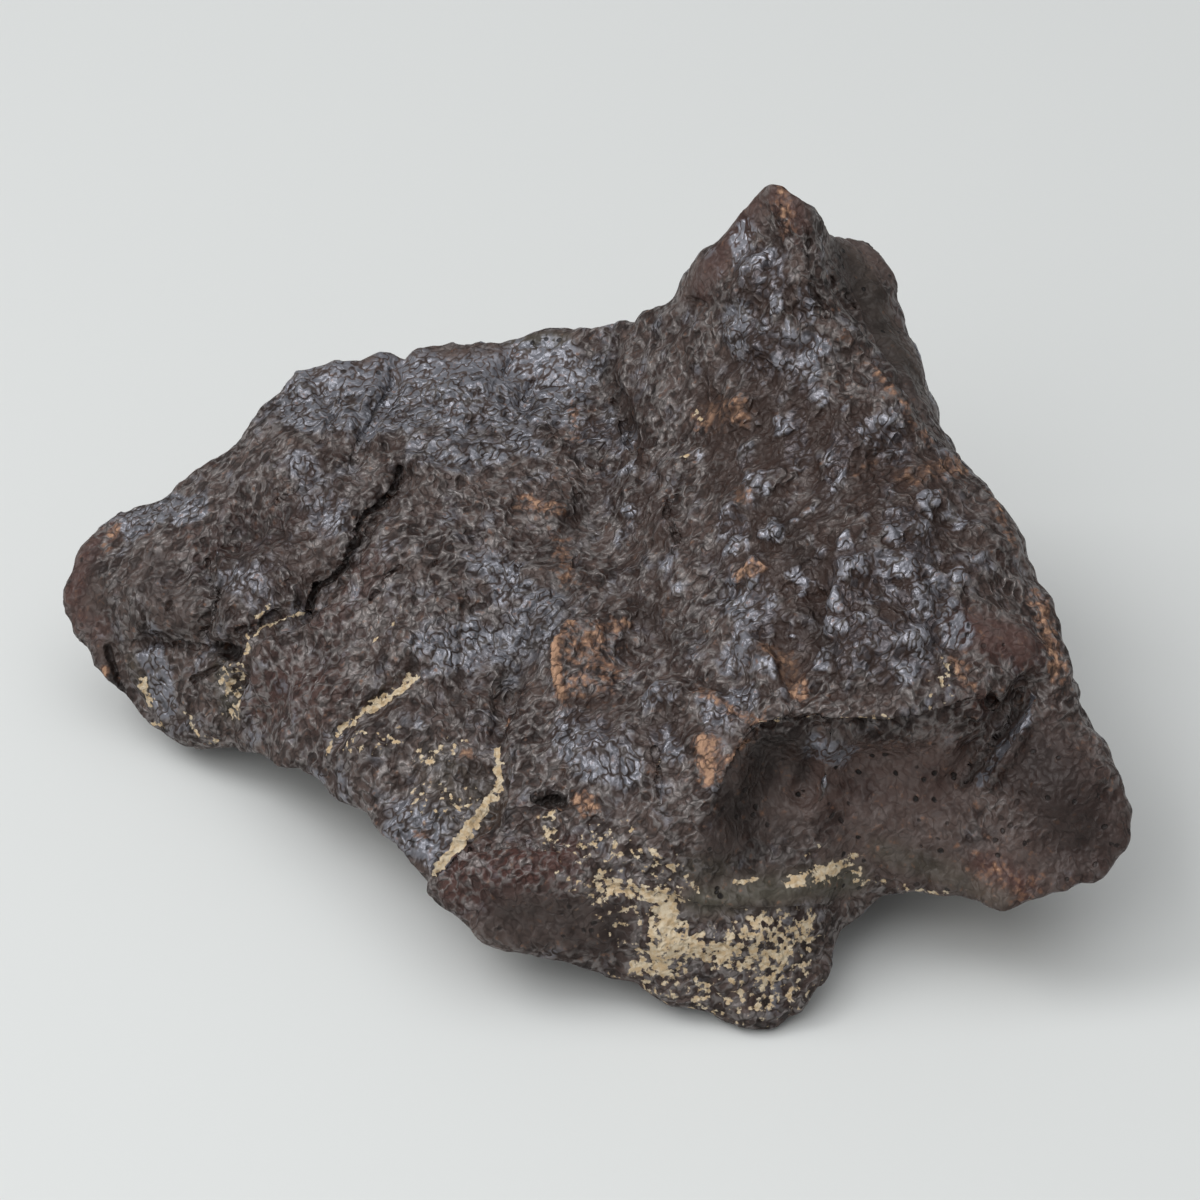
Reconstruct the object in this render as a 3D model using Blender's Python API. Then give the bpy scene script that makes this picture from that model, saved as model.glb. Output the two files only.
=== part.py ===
"""A weathered chondrite meteorite: one solid stone that rests on three small worn spots.

Landmarks on the stone's ridges, faces and hollows are joined into one closed skin. The skin is
rounded and roughened, ledges, lumps, hollows and cracks are worked into it, and the three spots
that the stone rests on are worn flat. Units are metres, +Z is up, and the front looks towards -Y.
"""

import math

import bmesh
import bpy
import numpy as np
from mathutils import Vector, geometry, noise
from mathutils.bvhtree import BVHTree

MM = 0.001

# Driving dimensions
VIEW_ELEVATION = math.radians(40)  # how far the photograph looks down on the table
VIEW_DISTANCE = 250 * MM  # from the lens to the middle of the picture
VIEW_TARGET = Vector((0, 0, 18 * MM))  # the point in the middle of the picture
GRAIN = 0.5 * MM  # between the points of the skin while it is shaped
ROUNDING = 16  # passes that wear its sharp edges
REGROWTH = 0.3 * MM  # laid on all over, for what the rounding took
TRIANGLES = 9000  # kept of the shaped skin
SOLE_RADIUS = 5.5 * MM  # round each resting spot, what is drawn down to the table
SOLE_SINK = 0.65 * MM  # how far below the table it is drawn before it is worn flat
COLOUR = (0.045, 0.034, 0.030, 1)
ROUGHNESS = 0.48
SHARP_EDGE = math.radians(45)

# The lens, and the picture's own directions back to the lens and up
TO_LENS = Vector((0, -math.cos(VIEW_ELEVATION), math.sin(VIEW_ELEVATION)))
UPWARD = Vector((0, math.sin(VIEW_ELEVATION), math.cos(VIEW_ELEVATION)))
LENS = VIEW_TARGET + TO_LENS * VIEW_DISTANCE

INSIDE = 1  # keep the triangles inside the outline
CLOSE = 1e-6  # landmarks this close on the picture would be one

# Landmarks that the photograph shows: millimetres right of the middle of the picture, millimetres
# above it, and height above the table.
OUTLINE = {
    "left_tip": (-40.4, 0.0, 9.5),
    "left_tip_top": (-39.2, 3.5, 11.5),
    "left_brow": (-36.5, 6.3, 13.5),
    "left_dip": (-33.4, 7.7, 14.5),
    "left_slope_low": (-30.4, 9.8, 16.0),
    "left_slope": (-27.0, 12.7, 18.5),
    "shoulder": (-22.9, 17.0, 21.0),
    "shoulder_right": (-18.5, 18.1, 22.0),
    "crest_left": (-12.9, 18.9, 22.5),
    "crest": (-7.1, 19.8, 23.0),
    "crest_right": (-2.3, 19.9, 23.5),
    "saddle": (1.5, 20.9, 26.0),
    "knob_root": (5.9, 22.6, 30.0),
    "knob": (6.2, 24.6, 32.0),
    "horn_left_low": (9.0, 27.1, 36.0),
    "horn_left": (11.2, 30.6, 40.0),
    "horn_tip": (13.4, 31.7, 42.5),
    "horn_right": (15.8, 30.0, 41.0),
    "horn_notch": (16.9, 27.3, 36.5),
    "back_horn_left": (18.5, 27.4, 33.5),
    "back_horn": (20.3, 26.9, 33.0),
    "back_horn_right": (21.8, 24.3, 31.5),
    "right_flank_top": (22.8, 20.7, 29.5),
    "right_flank": (24.2, 17.2, 28.0),
    "right_flank_low": (25.2, 13.2, 27.0),
    "right_nick": (27.1, 10.0, 26.5),
    "right_shoulder": (29.4, 8.1, 25.5),
    "right_side_top": (31.6, 3.6, 24.0),
    "right_side": (33.6, -0.4, 22.0),
    "right_side_low": (35.1, -4.8, 20.0),
    "right_waist": (36.2, -8.3, 17.5),
    "lobe_top": (38.3, -11.8, 15.5),
    "lobe_right": (39.8, -15.5, 13.0),
    "lobe_right_low": (39.4, -18.9, 11.0),
    "lobe_corner": (37.0, -21.5, 9.5),
    "lobe_under": (33.0, -22.8, 8.5),
    "lobe_point": (30.2, -23.9, 8.0),
    "arch_right": (27.1, -22.4, 7.5),
    "arch": (23.6, -22.3, 6.5),
    "arch_left": (20.7, -22.5, 5.5),
    "foot_waist": (17.9, -25.1, 3.5),
    "foot_right": (16.9, -28.8, 2.5),
    "foot_heel": (15.0, -31.2, 1.3),
    "foot_tip": (11.6, -32.2, 0.8),
    "foot_edge": (7.1, -30.9, 1.2),
    "foot_left": (1.8, -28.8, 2.5),
    "foot_left_far": (-4.3, -27.2, 4.0),
    "lip_low": (-9.3, -25.7, 6.0),
    "lip_corner": (-11.5, -23.7, 7.0),
    "lip_front": (-12.7, -21.5, 7.6),
    "lip": (-15.1, -18.7, 8.5),
    "lip_notch": (-17.6, -15.9, 8.5),
    "lip_spur": (-20.2, -15.4, 7.5),
    "lip_spur_left": (-21.5, -13.4, 8.0),
    "lip_left": (-24.8, -13.0, 6.5),
    "left_toe_right": (-27.2, -11.5, 4.0),
    "left_toe": (-31.2, -11.0, 2.2),
    "left_toe_front": (-35.0, -9.3, 3.0),
    "left_cheek_low": (-37.7, -6.0, 5.0),
    "left_cheek": (-39.4, -2.8, 7.0),
}

BROAD_FACE = {
    "lobe_face": (-36.0, 2.3, 12.5),
    "lobe_ridge": (-31.5, 5.3, 15.0),
    "lobe_back_face": (-26.3, 9.8, 18.0),
    "lobe_middle": (-24.8, 3.5, 16.8),
    "lobe_brow": (-29.0, -1.0, 13.8),
    "lobe_brow_left": (-34.0, -1.5, 11.0),
    "band_left": (-20.3, 12.0, 21.0),
    "band": (-11.3, 12.8, 21.8),
    "band_right": (-4.0, 14.0, 21.8),
    "valley_top": (0.5, 14.5, 22.5),
    "valley": (0.0, 8.0, 20.0),
    "left_of_crack": (-19.5, 5.0, 18.5),
    "right_of_crack": (-14.5, 6.0, 19.8),
    "crack_foot": (-21.0, -0.5, 15.5),
    "below_crack": (-15.0, -3.0, 16.5),
    "middle_left": (-8.0, 3.0, 19.0),
    "cheek": (-22.5, -6.0, 12.3),
    "cheek_low": (-24.0, -10.3, 9.3),
    "flank": (-17.0, -10.5, 12.5),
    "gully": (-6.2, -4.5, 15.6),
    "step": (-3.0, -3.0, 17.6),
    "step_right": (1.5, -0.5, 18.8),
    "plateau": (6.8, -3.0, 20.0),
    "plateau_low": (3.8, -10.5, 16.6),
    "plateau_foot": (-3.0, -12.0, 14.4),
    "apron": (-11.3, -12.0, 12.6),
    "apron_low": (-12.0, -18.0, 9.8),
    "apron_right": (-5.0, -17.5, 11.6),
    "apron_far_right": (1.5, -17.5, 12.8),
    "bite_left": (7.8, -15.0, 15.8),
    "slope_left": (5.0, 16.0, 26.3),
    "slope": (5.5, 9.0, 23.6),
    "horn_face_left": (9.5, 22.5, 33.5),
    "horn_face": (13.5, 23.5, 36.5),
    "horn_root": (14.5, 17.5, 31.5),
    "horn_root_left": (10.0, 14.0, 28.0),
    "horn_edge_top": (16.0, 26.6, 38.8),
    "horn_edge": (16.6, 23.0, 36.0),
    "horn_edge_low": (19.0, 19.2, 33.5),
    "flank_edge_top": (21.4, 17.2, 32.0),
    "flank_edge": (22.4, 14.8, 31.0),
    "flank_edge_low": (25.0, 11.8, 28.8),
    "horn_gully_top": (17.8, 25.4, 33.5),
    "horn_gully": (19.0, 22.0, 31.5),
    "horn_gully_low": (21.6, 18.9, 29.6),
    "back_horn_face": (20.6, 23.4, 32.3),
    "breast_top": (18.5, 10.0, 28.5),
    "breast_left": (11.5, 5.5, 25.0),
    "breast": (18.5, 4.5, 27.0),
    "breast_right": (24.0, 5.5, 27.0),
    "belly_left": (12.0, -1.8, 22.4),
    "belly": (18.5, -1.0, 24.6),
    "belly_right": (25.0, -0.5, 24.6),
    "side_face": (29.8, -1.2, 22.6),
}

BITE = {
    "rim_corner": (8.9, -13.2, 17.4),
    "rim_left": (12.0, -9.3, 19.8),
    "rim": (17.3, -8.7, 20.8),
    "rim_middle": (22.5, -8.3, 21.2),
    "rim_right": (27.5, -7.0, 21.0),
    "rim_end": (32.0, -5.8, 20.3),
    "wall_left": (11.5, -14.5, 14.2),
    "wall": (15.5, -12.6, 15.6),
    "wall_middle": (20.5, -12.2, 15.8),
    "wall_right": (26.0, -11.2, 16.4),
    "floor_left": (12.0, -18.0, 11.6),
    "floor": (18.5, -17.0, 11.4),
    "floor_right": (24.0, -16.5, 11.6),
    "floor_low": (22.0, -19.8, 8.7),
    "lobe_brow_right": (33.5, -9.5, 17.6),
    "lobe_front_top": (30.5, -13.5, 14.8),
    "lobe_front": (34.5, -15.5, 13.8),
    "lobe_front_low": (30.3, -19.0, 11.0),
    "lobe_front_corner": (35.2, -19.3, 10.9),
}

FOOT = {
    "foot_shoulder": (-9.0, -20.8, 9.6),
    "foot_top_left": (-3.0, -21.8, 9.8),
    "foot_top": (3.0, -22.0, 9.9),
    "foot_crown": (9.0, -21.2, 10.4),
    "foot_crown_right": (14.5, -21.4, 9.2),
    "foot_neck": (18.2, -20.8, 8.0),
    "foot_dark": (-3.5, -25.0, 6.5),
    "foot_front": (4.0, -26.8, 5.0),
    "foot_bright": (9.5, -26.0, 6.0),
    "foot_bright_right": (14.2, -27.2, 4.6),
    "foot_low": (10.5, -30.3, 2.3),
}

# Landmarks on the sides that the photograph doesn't show, as plain places in millimetres.
BACK = {
    "back_tip": (-38.3, 13.0, 6.0),
    "back_lobe": (-33.5, 17.5, 9.8),
    "back_lobe_ridge": (-27.0, 22.0, 13.0),
    "back_shoulder": (-20.5, 27.0, 15.0),
    "back_crest_left": (-12.5, 29.5, 16.5),
    "back_crest": (-5.0, 28.0, 18.5),
    "scoop_top": (2.5, 25.0, 20.5),
    "back_horn_root": (8.0, 24.5, 26.5),
    "back_horn_left_side": (10.0, 22.8, 33.5),
    "back_horn_behind": (14.0, 23.0, 36.5),
    "back_horn_cleft": (17.0, 23.5, 32.5),
    "back_horn_far": (20.0, 26.8, 28.5),
    "back_right": (23.8, 23.0, 21.0),
    "back_right_side": (27.3, 14.0, 18.5),
    "side_high": (30.8, 4.0, 16.0),
    "side_middle": (34.0, -6.0, 12.5),
    "side_low": (36.3, -14.0, 8.8),
    "scoop": (1.5, 24.0, 13.5),
    "scoop_right": (8.0, 25.5, 17.5),
    "buttress": (13.5, 30.5, 18.0),
    "back_left_low": (-29.5, 18.5, 4.5),
    "back_low_left": (-17.0, 26.5, 7.5),
    "back_low": (-7.0, 28.5, 8.0),
    "back_low_right": (3.0, 28.0, 7.5),
    "buttress_foot": (13.0, 31.0, 10.0),
    "buttress_right": (21.5, 27.0, 11.5),
    "back_side_low": (28.0, 13.0, 8.5),
    "side_under": (31.0, 0.5, 7.5),
}

UNDERSIDE = {
    "left_contact": (-30.5, 6.0, 0.4),
    "left_contact_back": (-28.5, 11.5, 1.2),
    "front_contact": (11.0, -24.0, 0.2),
    "front_contact_left": (5.0, -22.5, 1.4),
    "front_contact_back": (12.5, -19.5, 1.5),
    "back_contact": (15.0, 22.5, 0.4),
    "back_contact_right": (21.5, 18.5, 2.0),
    "back_contact_left": (8.0, 19.5, 1.8),
    "under_left": (-20.0, 2.5, 3.8),
    "under_left_front": (-18.0, -6.0, 5.0),
    "under_lip": (-9.0, -15.5, 4.8),
    "under_left_back": (-18.0, 17.0, 3.0),
    "under_back": (-6.0, 22.0, 4.2),
    "under_middle": (-4.0, 5.0, 5.2),
    "under_front": (1.0, -12.0, 4.8),
    "under_middle_front": (12.0, -8.0, 5.2),
    "under_middle_right": (13.0, 7.0, 4.2),
    "under_arch": (20.0, -13.0, 5.2),
    "under_right": (24.0, -1.0, 5.6),
    "under_right_back": (25.5, 11.0, 4.2),
    "under_lobe": (30.0, -14.0, 6.0),
    "under_lobe_back": (29.5, -6.0, 6.2),
}

# Sharp edges, each followed from landmark to landmark.
RIDGES = (
    ("horn_tip", "horn_edge_top", "horn_edge", "horn_edge_low", "flank_edge_top", "flank_edge"),
    ("flank_edge", "flank_edge_low", "right_nick"),
    ("horn_notch", "horn_gully_top", "horn_gully", "horn_gully_low"),
    ("bite_left", "rim_corner", "rim_left", "rim", "rim_middle", "rim_right", "rim_end"),
    ("rim_end", "right_waist"),
    ("gully", "step", "step_right"),
)
HIDDEN_RIDGES = (
    ("back_tip", "back_lobe", "back_lobe_ridge", "back_shoulder", "back_crest_left", "back_crest"),
    ("left_tip", "back_tip", "back_left_low", "back_low_left", "back_low", "back_low_right"),
    ("back_low_right", "buttress_foot", "buttress_right", "back_side_low", "side_under"),
    ("horn_tip", "back_horn_behind", "back_horn_left_side"),
    ("scoop_right", "buttress", "back_horn_far"),
    ("back_right", "back_right_side", "side_high", "side_middle", "side_low"),
)

# What is worked into the skin. A point of two numbers lies where the photograph shows it, in
# millimetres right of and above its middle. A point of three is a plain place in millimetres.
# Ledges: how far the raised side reaches, its height, and the edge, with the raised side on the
# right hand of someone who walks along it.
LEDGES = {
    "rust_terrace": (4.0, 0.9, ((-3.0, -8.2), (-3.9, -6.5), (-3.9, -3.4), (-2.2, -1.6), (1.2, -0.9))),
    "plateau_edge": (3.5, 0.7, ((10.8, -1.0), (12.6, -3.4), (13.9, -5.2), (14.4, -7.8))),
    "maroon_lump": (5.0, 1.0, ((-12.3, -20.3), (-10.7, -18.9), (-7.4, -18.6), (-3.0, -18.9))),
    "cheek_edge": (5.0, 0.9, ((-27.2, -9.2), (-26.8, -4.8), (-26.5, -3.0), (-24.8, -1.9), (-21.9, -0.9))),
    "lobe_step": (3.5, 0.6, ((-27.6, -3.8), (-28.4, -1.8), (-29.2, 0.2), (-29.4, 2.4))),
    "bite_notch": (4.0, 0.9, ((15.2, -14.6), (15.6, -12.4), (15.9, -10.4))),
    "apron_edge": (3.0, 0.7, ((-7.6, -15.6), (-7.6, -12.5), (-7.2, -9.6), (-6.6, -7.2))),
    "dome_edge": (4.5, 0.9, ((16.9, -4.6), (16.2, -2.6), (16.0, -0.6), (17.2, 1.2))),
    "back_shelf": (5.0, 1.3, ((-16.0, 28.0, 11.0), (-9.0, 28.5, 12.0), (-3.0, 28.0, 11.0), (2.0, 26.0, 9.0))),
    "back_flake": (6.0, 1.0, ((24.5, 21.0, 24.0), (26.0, 20.0, 17.0), (26.0, 20.0, 11.0))),
    "side_flake": (5.0, 1.0, ((29.5, 6.0, 20.0), (31.5, 2.0, 14.0), (31.0, 3.0, 9.0))),
    "lobe_back_flake": (5.0, 0.8, ((-33.0, 17.0, 12.0), (-31.0, 18.0, 7.0), (-30.0, 17.0, 4.0))),
}

# Lumps and hollows: radius, height (below zero for a hollow) and middle.
LUMPS = {
    "horn_lump": (3.0, 0.7, (10.8, 24.0)),
    "horn_root_lump": (3.2, 0.8, (12.4, 19.2)),
    "horn_root_lump_right": (2.4, 0.5, (16.4, 17.8)),
    "rust_lump": (2.2, 0.8, (10.0, 14.2)),
    "rust_lump_middle": (2.0, 0.6, (10.3, 7.3)),
    "rust_lump_low": (2.4, 0.8, (11.0, 2.0)),
    "rust_lump_foot": (1.8, 0.7, (7.6, -11.0)),
    "rust_lump_left": (2.6, 0.7, (-3.2, 6.4)),
    "pale_lump": (2.0, 0.6, (5.0, 9.6)),
    "breast_lump": (2.6, 0.7, (18.4, 11.0)),
    "breast_lump_right": (2.4, 0.7, (23.2, 6.6)),
    "breast_lump_far": (2.8, 0.7, (28.4, 4.6)),
    "shoulder_lump": (2.2, 0.5, (26.2, 8.6)),
    "dome": (4.6, 0.8, (21.2, -3.0)),
    "side_lump": (3.4, 0.6, (29.6, -2.6)),
    "plateau_lump": (2.6, 0.6, (5.0, -7.0)),
    "plateau_lump_left": (3.0, 0.5, (0.4, -10.8)),
    "cheek_lump": (4.0, 0.7, (-20.4, -6.4)),
    "lobe_lump": (3.4, 0.7, (-25.6, 1.4)),
    "lobe_tip_lump": (3.0, 0.5, (-36.8, 1.0)),
    "back_face_lump": (4.0, 0.5, (-24.4, 11.0)),
    "band_lump": (3.6, 0.5, (-10.0, 15.4)),
    "saddle_lump": (2.4, 0.6, (1.6, 17.0)),
    "foot_lump": (3.4, 0.6, (10.6, -24.4)),
    "foot_lump_left": (3.0, 0.6, (-7.0, -21.6)),
    "lobe_right_lump": (3.6, 0.5, (34.6, -13.0)),
    "lobe_hollow": (3.2, -0.9, (-26.6, 5.6)),
    "lobe_hollow_left": (2.4, -0.5, (-31.8, 2.4)),
    "middle_hollow": (4.2, -0.6, (-10.6, 6.6)),
    "valley_hollow": (3.4, -0.7, (1.2, 11.4)),
    "valley_hollow_low": (3.4, -0.7, (1.8, 4.4)),
    "breast_hollow": (2.2, -0.7, (14.6, 9.0)),
    "breast_hollow_low": (2.6, -0.7, (15.0, 1.6)),
    "breast_hollow_right": (1.4, -0.6, (22.0, 12.0)),
    "belly_hollow": (2.4, -0.6, (24.8, 1.6)),
    "plateau_hollow": (2.6, -0.6, (9.6, -5.6)),
    "apron_hollow": (2.6, -0.6, (-9.6, -14.0)),
    "dark_pit": (1.2, -1.3, (-3.7, -14.9)),
    "bite_hollow": (4.6, -0.9, (20.4, -13.0)),
    "bite_corner": (2.8, -0.8, (12.6, -12.6)),
    "foot_hollow": (2.6, -0.6, (1.4, -24.2)),
    "groove_hole": (0.9, -1.2, (29.2, -7.7)),
    "back_dish": (6.5, -1.6, (0.0, 26.0, 14.5)),
    "back_dish_left": (5.0, -1.2, (-24.0, 25.0, 10.0)),
    "back_dish_high": (4.2, -1.0, (-11.5, 29.0, 16.0)),
    "horn_dish": (4.0, -1.0, (13.0, 25.5, 28.5)),
    "buttress_dish": (4.0, -1.1, (19.0, 29.0, 17.0)),
    "buttress_lump": (4.5, 0.9, (12.0, 31.0, 14.0)),
    "side_dish": (5.5, -1.4, (30.0, 10.0, 12.5)),
    "side_dish_low": (4.0, -1.1, (34.0, -3.0, 13.0)),
    "side_lump_low": (4.0, 0.9, (34.0, -9.0, 9.0)),
    "underside_dish": (7.0, -1.2, (-8.0, 8.0, 4.5)),
    "underside_dish_right": (5.5, -1.2, (21.0, 2.0, 5.0)),
    "underside_dish_front": (4.5, -1.0, (4.0, -11.0, 4.5)),
    "underside_lump": (5.0, 0.9, (-12.0, -2.0, 4.5)),
    "underside_lump_back": (4.5, 0.9, (-2.0, 16.0, 4.5)),
}

# Cracks and grooves: half their width, depth and course.
GROOVES = {
    "crack_top": (1.1, 1.7, ((-15.0, 9.6), (-15.4, 8.5), (-16.7, 7.1), (-17.9, 5.6))),
    "crack_middle": (0.9, 1.5, ((-17.9, 5.6), (-18.2, 4.5), (-18.8, 3.0), (-19.7, 1.9))),
    "crack_low": (1.2, 1.8, ((-19.7, 1.9), (-21.2, 0.8), (-21.9, -0.7))),
    "crack_tail": (1.0, 1.2, ((-22.4, -1.2), (-24.8, -2.1), (-26.5, -2.9), (-26.9, -4.9), (-27.1, -7.0))),
    "lobe_crease": (1.3, 1.3, ((-34.4, -3.2), (-31.4, -3.4), (-28.4, -3.9), (-26.8, -3.9))),
    "lobe_side_crease": (1.1, 0.9, ((-36.6, -4.2), (-36.0, -6.6), (-34.2, -8.6))),
    "lobe_wrinkle": (1.0, 0.8, ((-29.6, 2.8), (-29.0, 0.4), (-29.4, -1.6), (-30.6, -2.8))),
    "upper_crack": (1.0, 1.1, ((-15.8, 17.2), (-15.5, 16.0), (-16.9, 13.9), (-18.0, 12.0), (-18.6, 10.1))),
    "upper_crack_left": (0.9, 0.8, ((-21.0, 15.8), (-20.0, 14.0), (-19.3, 12.0))),
    "band_crack": (0.9, 0.8, ((-6.8, 18.6), (-7.2, 16.8))),
    "band_crack_right": (0.9, 0.8, ((-5.2, 16.2), (-5.9, 14.6))),
    "valley_crack": (0.8, 0.6, ((0.6, 16.4), (1.9, 12.6), (2.4, 10.0), (5.0, 8.2), (5.9, 6.3))),
    "vein_upper": (1.0, 0.8, ((-13.9, -5.9), (-15.9, -7.1), (-17.9, -8.6), (-20.1, -10.5))),
    "vein_lower": (1.1, 0.9, ((-7.5, -11.6), (-7.7, -13.8), (-8.3, -15.7), (-9.8, -17.3), (-12.0, -19.9))),
    "gully_crack": (0.9, 0.9, ((-7.1, -7.0), (-8.0, -10.2))),
    "dome_crack": (1.0, 1.0, ((15.9, 0.4), (16.3, -2.0), (16.9, -3.9))),
    "bite_crack": (1.2, 1.2, ((16.0, -10.2), (15.9, -12.2), (15.3, -14.6))),
    "lobe_groove": (1.7, 1.9, ((26.3, -13.9), (28.2, -11.8), (30.4, -9.2), (32.2, -7.1))),
    "horn_groove": (1.2, 1.2, ((17.2, 24.4), (18.2, 22.8), (19.2, 21.2))),
    "horn_groove_low": (1.0, 0.8, ((19.6, 22.2), (21.6, 18.4), (23.0, 15.6))),
    "foot_crease": (1.0, 0.5, ((-1.6, -20.4), (2.6, -21.0), (7.6, -21.2), (12.4, -20.8), (17.0, -20.2))),
    "back_crack": (1.2, 1.5, ((-16, 25, 22), (-15, 28.5, 17.5), (-17, 28, 12.5), (-15.5, 27, 7))),
    "buttress_crack": (1.1, 1.4, ((17, 24, 32), (18, 28, 25), (16, 30.5, 19), (17, 30, 12))),
    "side_crack": (1.1, 1.3, ((28.5, 8, 24), (30.5, 6, 17.5), (29.5, 9, 12))),
    "side_crack_low": (1.0, 1.0, ((34.5, -8, 16), (34.5, -5, 11), (32, -3, 8))),
    "underside_crack": (1.1, 1.2, ((-22, 12, 3), (-13, 10, 4), (-6, 12, 4.5), (1, 9, 5))),
}

# Roughness of the whole skin: how far apart its swells and bumps are and how high they stand.
SWELLS = ((9 * MM, 0.55 * MM), (4.8 * MM, 0.38 * MM))
BUMP_SPACING = 3.2 * MM
BUMP_HEIGHT = 0.68 * MM
BUMP_MEAN = 0.25  # the middle of the bumps' noise, taken off so that they add no thickness
BUMP_SHIFT = Vector((7, 3, 5))  # sets the bumps apart from the swells

# The middles of the three spots that the stone rests on, across and away from the front.
RESTING_SPOTS = ((-30.5, 6.0), (10.8, -24.6), (15.5, 22.0))


def line_of_sight(across, up):
    """From the lens, the way to a point of the picture, in millimetres from its middle."""
    return VIEW_TARGET + Vector((across, 0, 0)) * MM + UPWARD * up * MM - LENS


def seen(across, up, height):
    """The place that the photograph shows at this point of the picture, at this height."""
    ray = line_of_sight(across, up)
    return LENS + ray * ((height * MM - LENS.z) / ray.z)


def on_picture(place):
    """Where the photograph shows a place, in millimetres right of and above its middle."""
    offset = place - VIEW_TARGET
    nearness = VIEW_DISTANCE / (VIEW_DISTANCE - offset.dot(TO_LENS))
    return Vector((offset.x, offset.dot(UPWARD))) * nearness / MM


def landmarks():
    """The places of the landmarks in the outline, on the side seen and on the side hidden."""
    outline = {name: seen(*place) for name, place in OUTLINE.items()}
    front = {name: seen(*place) for name, place in {**BROAD_FACE, **BITE, **FOOT}.items()}
    hidden = {name: Vector(place) * MM for name, place in {**BACK, **UNDERSIDE}.items()}
    return outline, front, hidden


def triangles(outline, inner, ridges):
    """Triangles that fill the outline through the landmarks inside it, as names of their corners."""
    places = {**outline, **inner}
    names = list(places)
    flat = [on_picture(places[name]) for name in names]
    edges = []
    for ridge in ridges:
        steps = [names.index(name) for name in ridge]
        edges.extend(zip(steps, steps[1:]))
    loop = list(range(len(outline)))
    filled = geometry.delaunay_2d_cdt(flat, edges, [loop], INSIDE, CLOSE)
    points, faces, sources = filled[0], filled[2], filled[3]
    used = {corner for face in faces for corner in face}
    if len(points) != len(names) or len(used) != len(names):
        raise ValueError("landmarks or ridges cross, or one is outside the outline")
    return [[names[sources[corner][0]] for corner in face] for face in faces]


def skin():
    """One closed skin: the side that the photograph shows, and the hidden side behind it."""
    outline, front, hidden = landmarks()
    shape = bmesh.new()
    verts = {}
    for name, place in {**outline, **front, **hidden}.items():
        verts[name] = shape.verts.new(place)
    for inner, ridges in ((front, RIDGES), (hidden, HIDDEN_RIDGES)):
        for names in triangles(outline, inner, ridges):
            shape.faces.new([verts[name] for name in names])
    bmesh.ops.recalc_face_normals(shape, faces=shape.faces)
    mesh = bpy.data.meshes.new("stone")
    shape.to_mesh(mesh)
    shape.free()
    return mesh


def modified(mesh, *settings):
    """The mesh after modifiers, given as pairs of a modifier's type and its settings."""
    holder = bpy.data.objects.new("holder", mesh)
    bpy.context.scene.collection.objects.link(holder)
    for kind, values in settings:
        modifier = holder.modifiers.new(kind, kind)
        for name, value in values.items():
            setattr(modifier, name, value)
    graph = bpy.context.evaluated_depsgraph_get()
    result = bpy.data.meshes.new_from_object(holder.evaluated_get(graph))
    bpy.data.objects.remove(holder)
    bpy.data.meshes.remove(mesh)
    return result


def places_of(mesh):
    places = np.empty(len(mesh.vertices) * 3)
    mesh.vertices.foreach_get("co", places)
    return places.reshape(-1, 3)


def normals_of(mesh):
    normals = np.empty(len(mesh.vertices) * 3)
    mesh.vertices.foreach_get("normal", normals)
    return normals.reshape(-1, 3)


def push(mesh, amounts):
    """Move each point of the skin out by its amount."""
    moved = places_of(mesh) + normals_of(mesh) * amounts[:, None]
    mesh.vertices.foreach_set("co", moved.ravel())
    mesh.update()


def roughen(mesh):
    """Broad swells, and rounder bumps with creases between them."""
    places = [Vector(place) for place in places_of(mesh)]
    amounts = np.zeros(len(places))
    for spacing, height in SWELLS:
        amounts += [noise.noise(place / spacing) * height for place in places]
    bumps = [abs(noise.noise(place / BUMP_SPACING + BUMP_SHIFT)) for place in places]
    push(mesh, amounts + (np.array(bumps) - BUMP_MEAN) * BUMP_HEIGHT)


def search_tree(mesh):
    corners = [vertex.co for vertex in mesh.vertices]
    return BVHTree.FromPolygons(corners, [polygon.vertices for polygon in mesh.polygons])


def on_skin(tree, point):
    """The place on the skin that a listed point names, and the way the skin faces there."""
    if len(point) == 2:
        found = tree.ray_cast(LENS, line_of_sight(*point).normalized())
    else:
        found = tree.find_nearest(Vector(point) * MM)
    if found[0] is None:
        raise ValueError(f"the picture doesn't show the stone at {point}")
    return np.array(found[0]), np.array(found[1])


def from_line(places, start, end):
    """How far each place is from the line between two points."""
    run = end - start
    share = np.clip((places - start) @ run / (run @ run), 0, 1)
    return np.linalg.norm(places - start - share[:, None] * run, axis=1)


def beside_ledge(places, tree, course):
    """How far each place is from a ledge's edge, and how far to the right of it."""
    found = [on_skin(tree, point) for point in course]
    nearest = np.full(len(places), np.inf)
    beside = np.zeros(len(places))
    for (start, normal), (end, _) in zip(found, found[1:]):
        away = from_line(places, start, end)
        right = np.cross(end - start, normal)
        closer = away < nearest
        nearest[closer] = away[closer]
        beside[closer] = ((places - start) @ right / np.linalg.norm(right))[closer]
    return nearest, beside


def raise_ledges(mesh):
    """Each ledge stands at its full height along its edge and fades over its reach."""
    tree = search_tree(mesh)
    places = places_of(mesh)
    amounts = np.zeros(len(places))
    for reach, height, course in LEDGES.values():
        away, beside = beside_ledge(places, tree, course)
        fade = np.clip(1 - away / (reach * MM), 0, 1)
        amounts += np.clip(beside / GRAIN, 0, 1) * fade * fade * (3 - 2 * fade) * height * MM
    push(mesh, amounts)


def swell_lumps(mesh):
    """Each lump or hollow is a round dome or dish."""
    tree = search_tree(mesh)
    places = places_of(mesh)
    amounts = np.zeros(len(places))
    for radius, height, middle in LUMPS.values():
        away = np.linalg.norm(places - on_skin(tree, middle)[0], axis=1) / (radius * MM)
        amounts += np.clip(1 - away * away, 0, 1) ** 2 * height * MM
    push(mesh, amounts)


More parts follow.
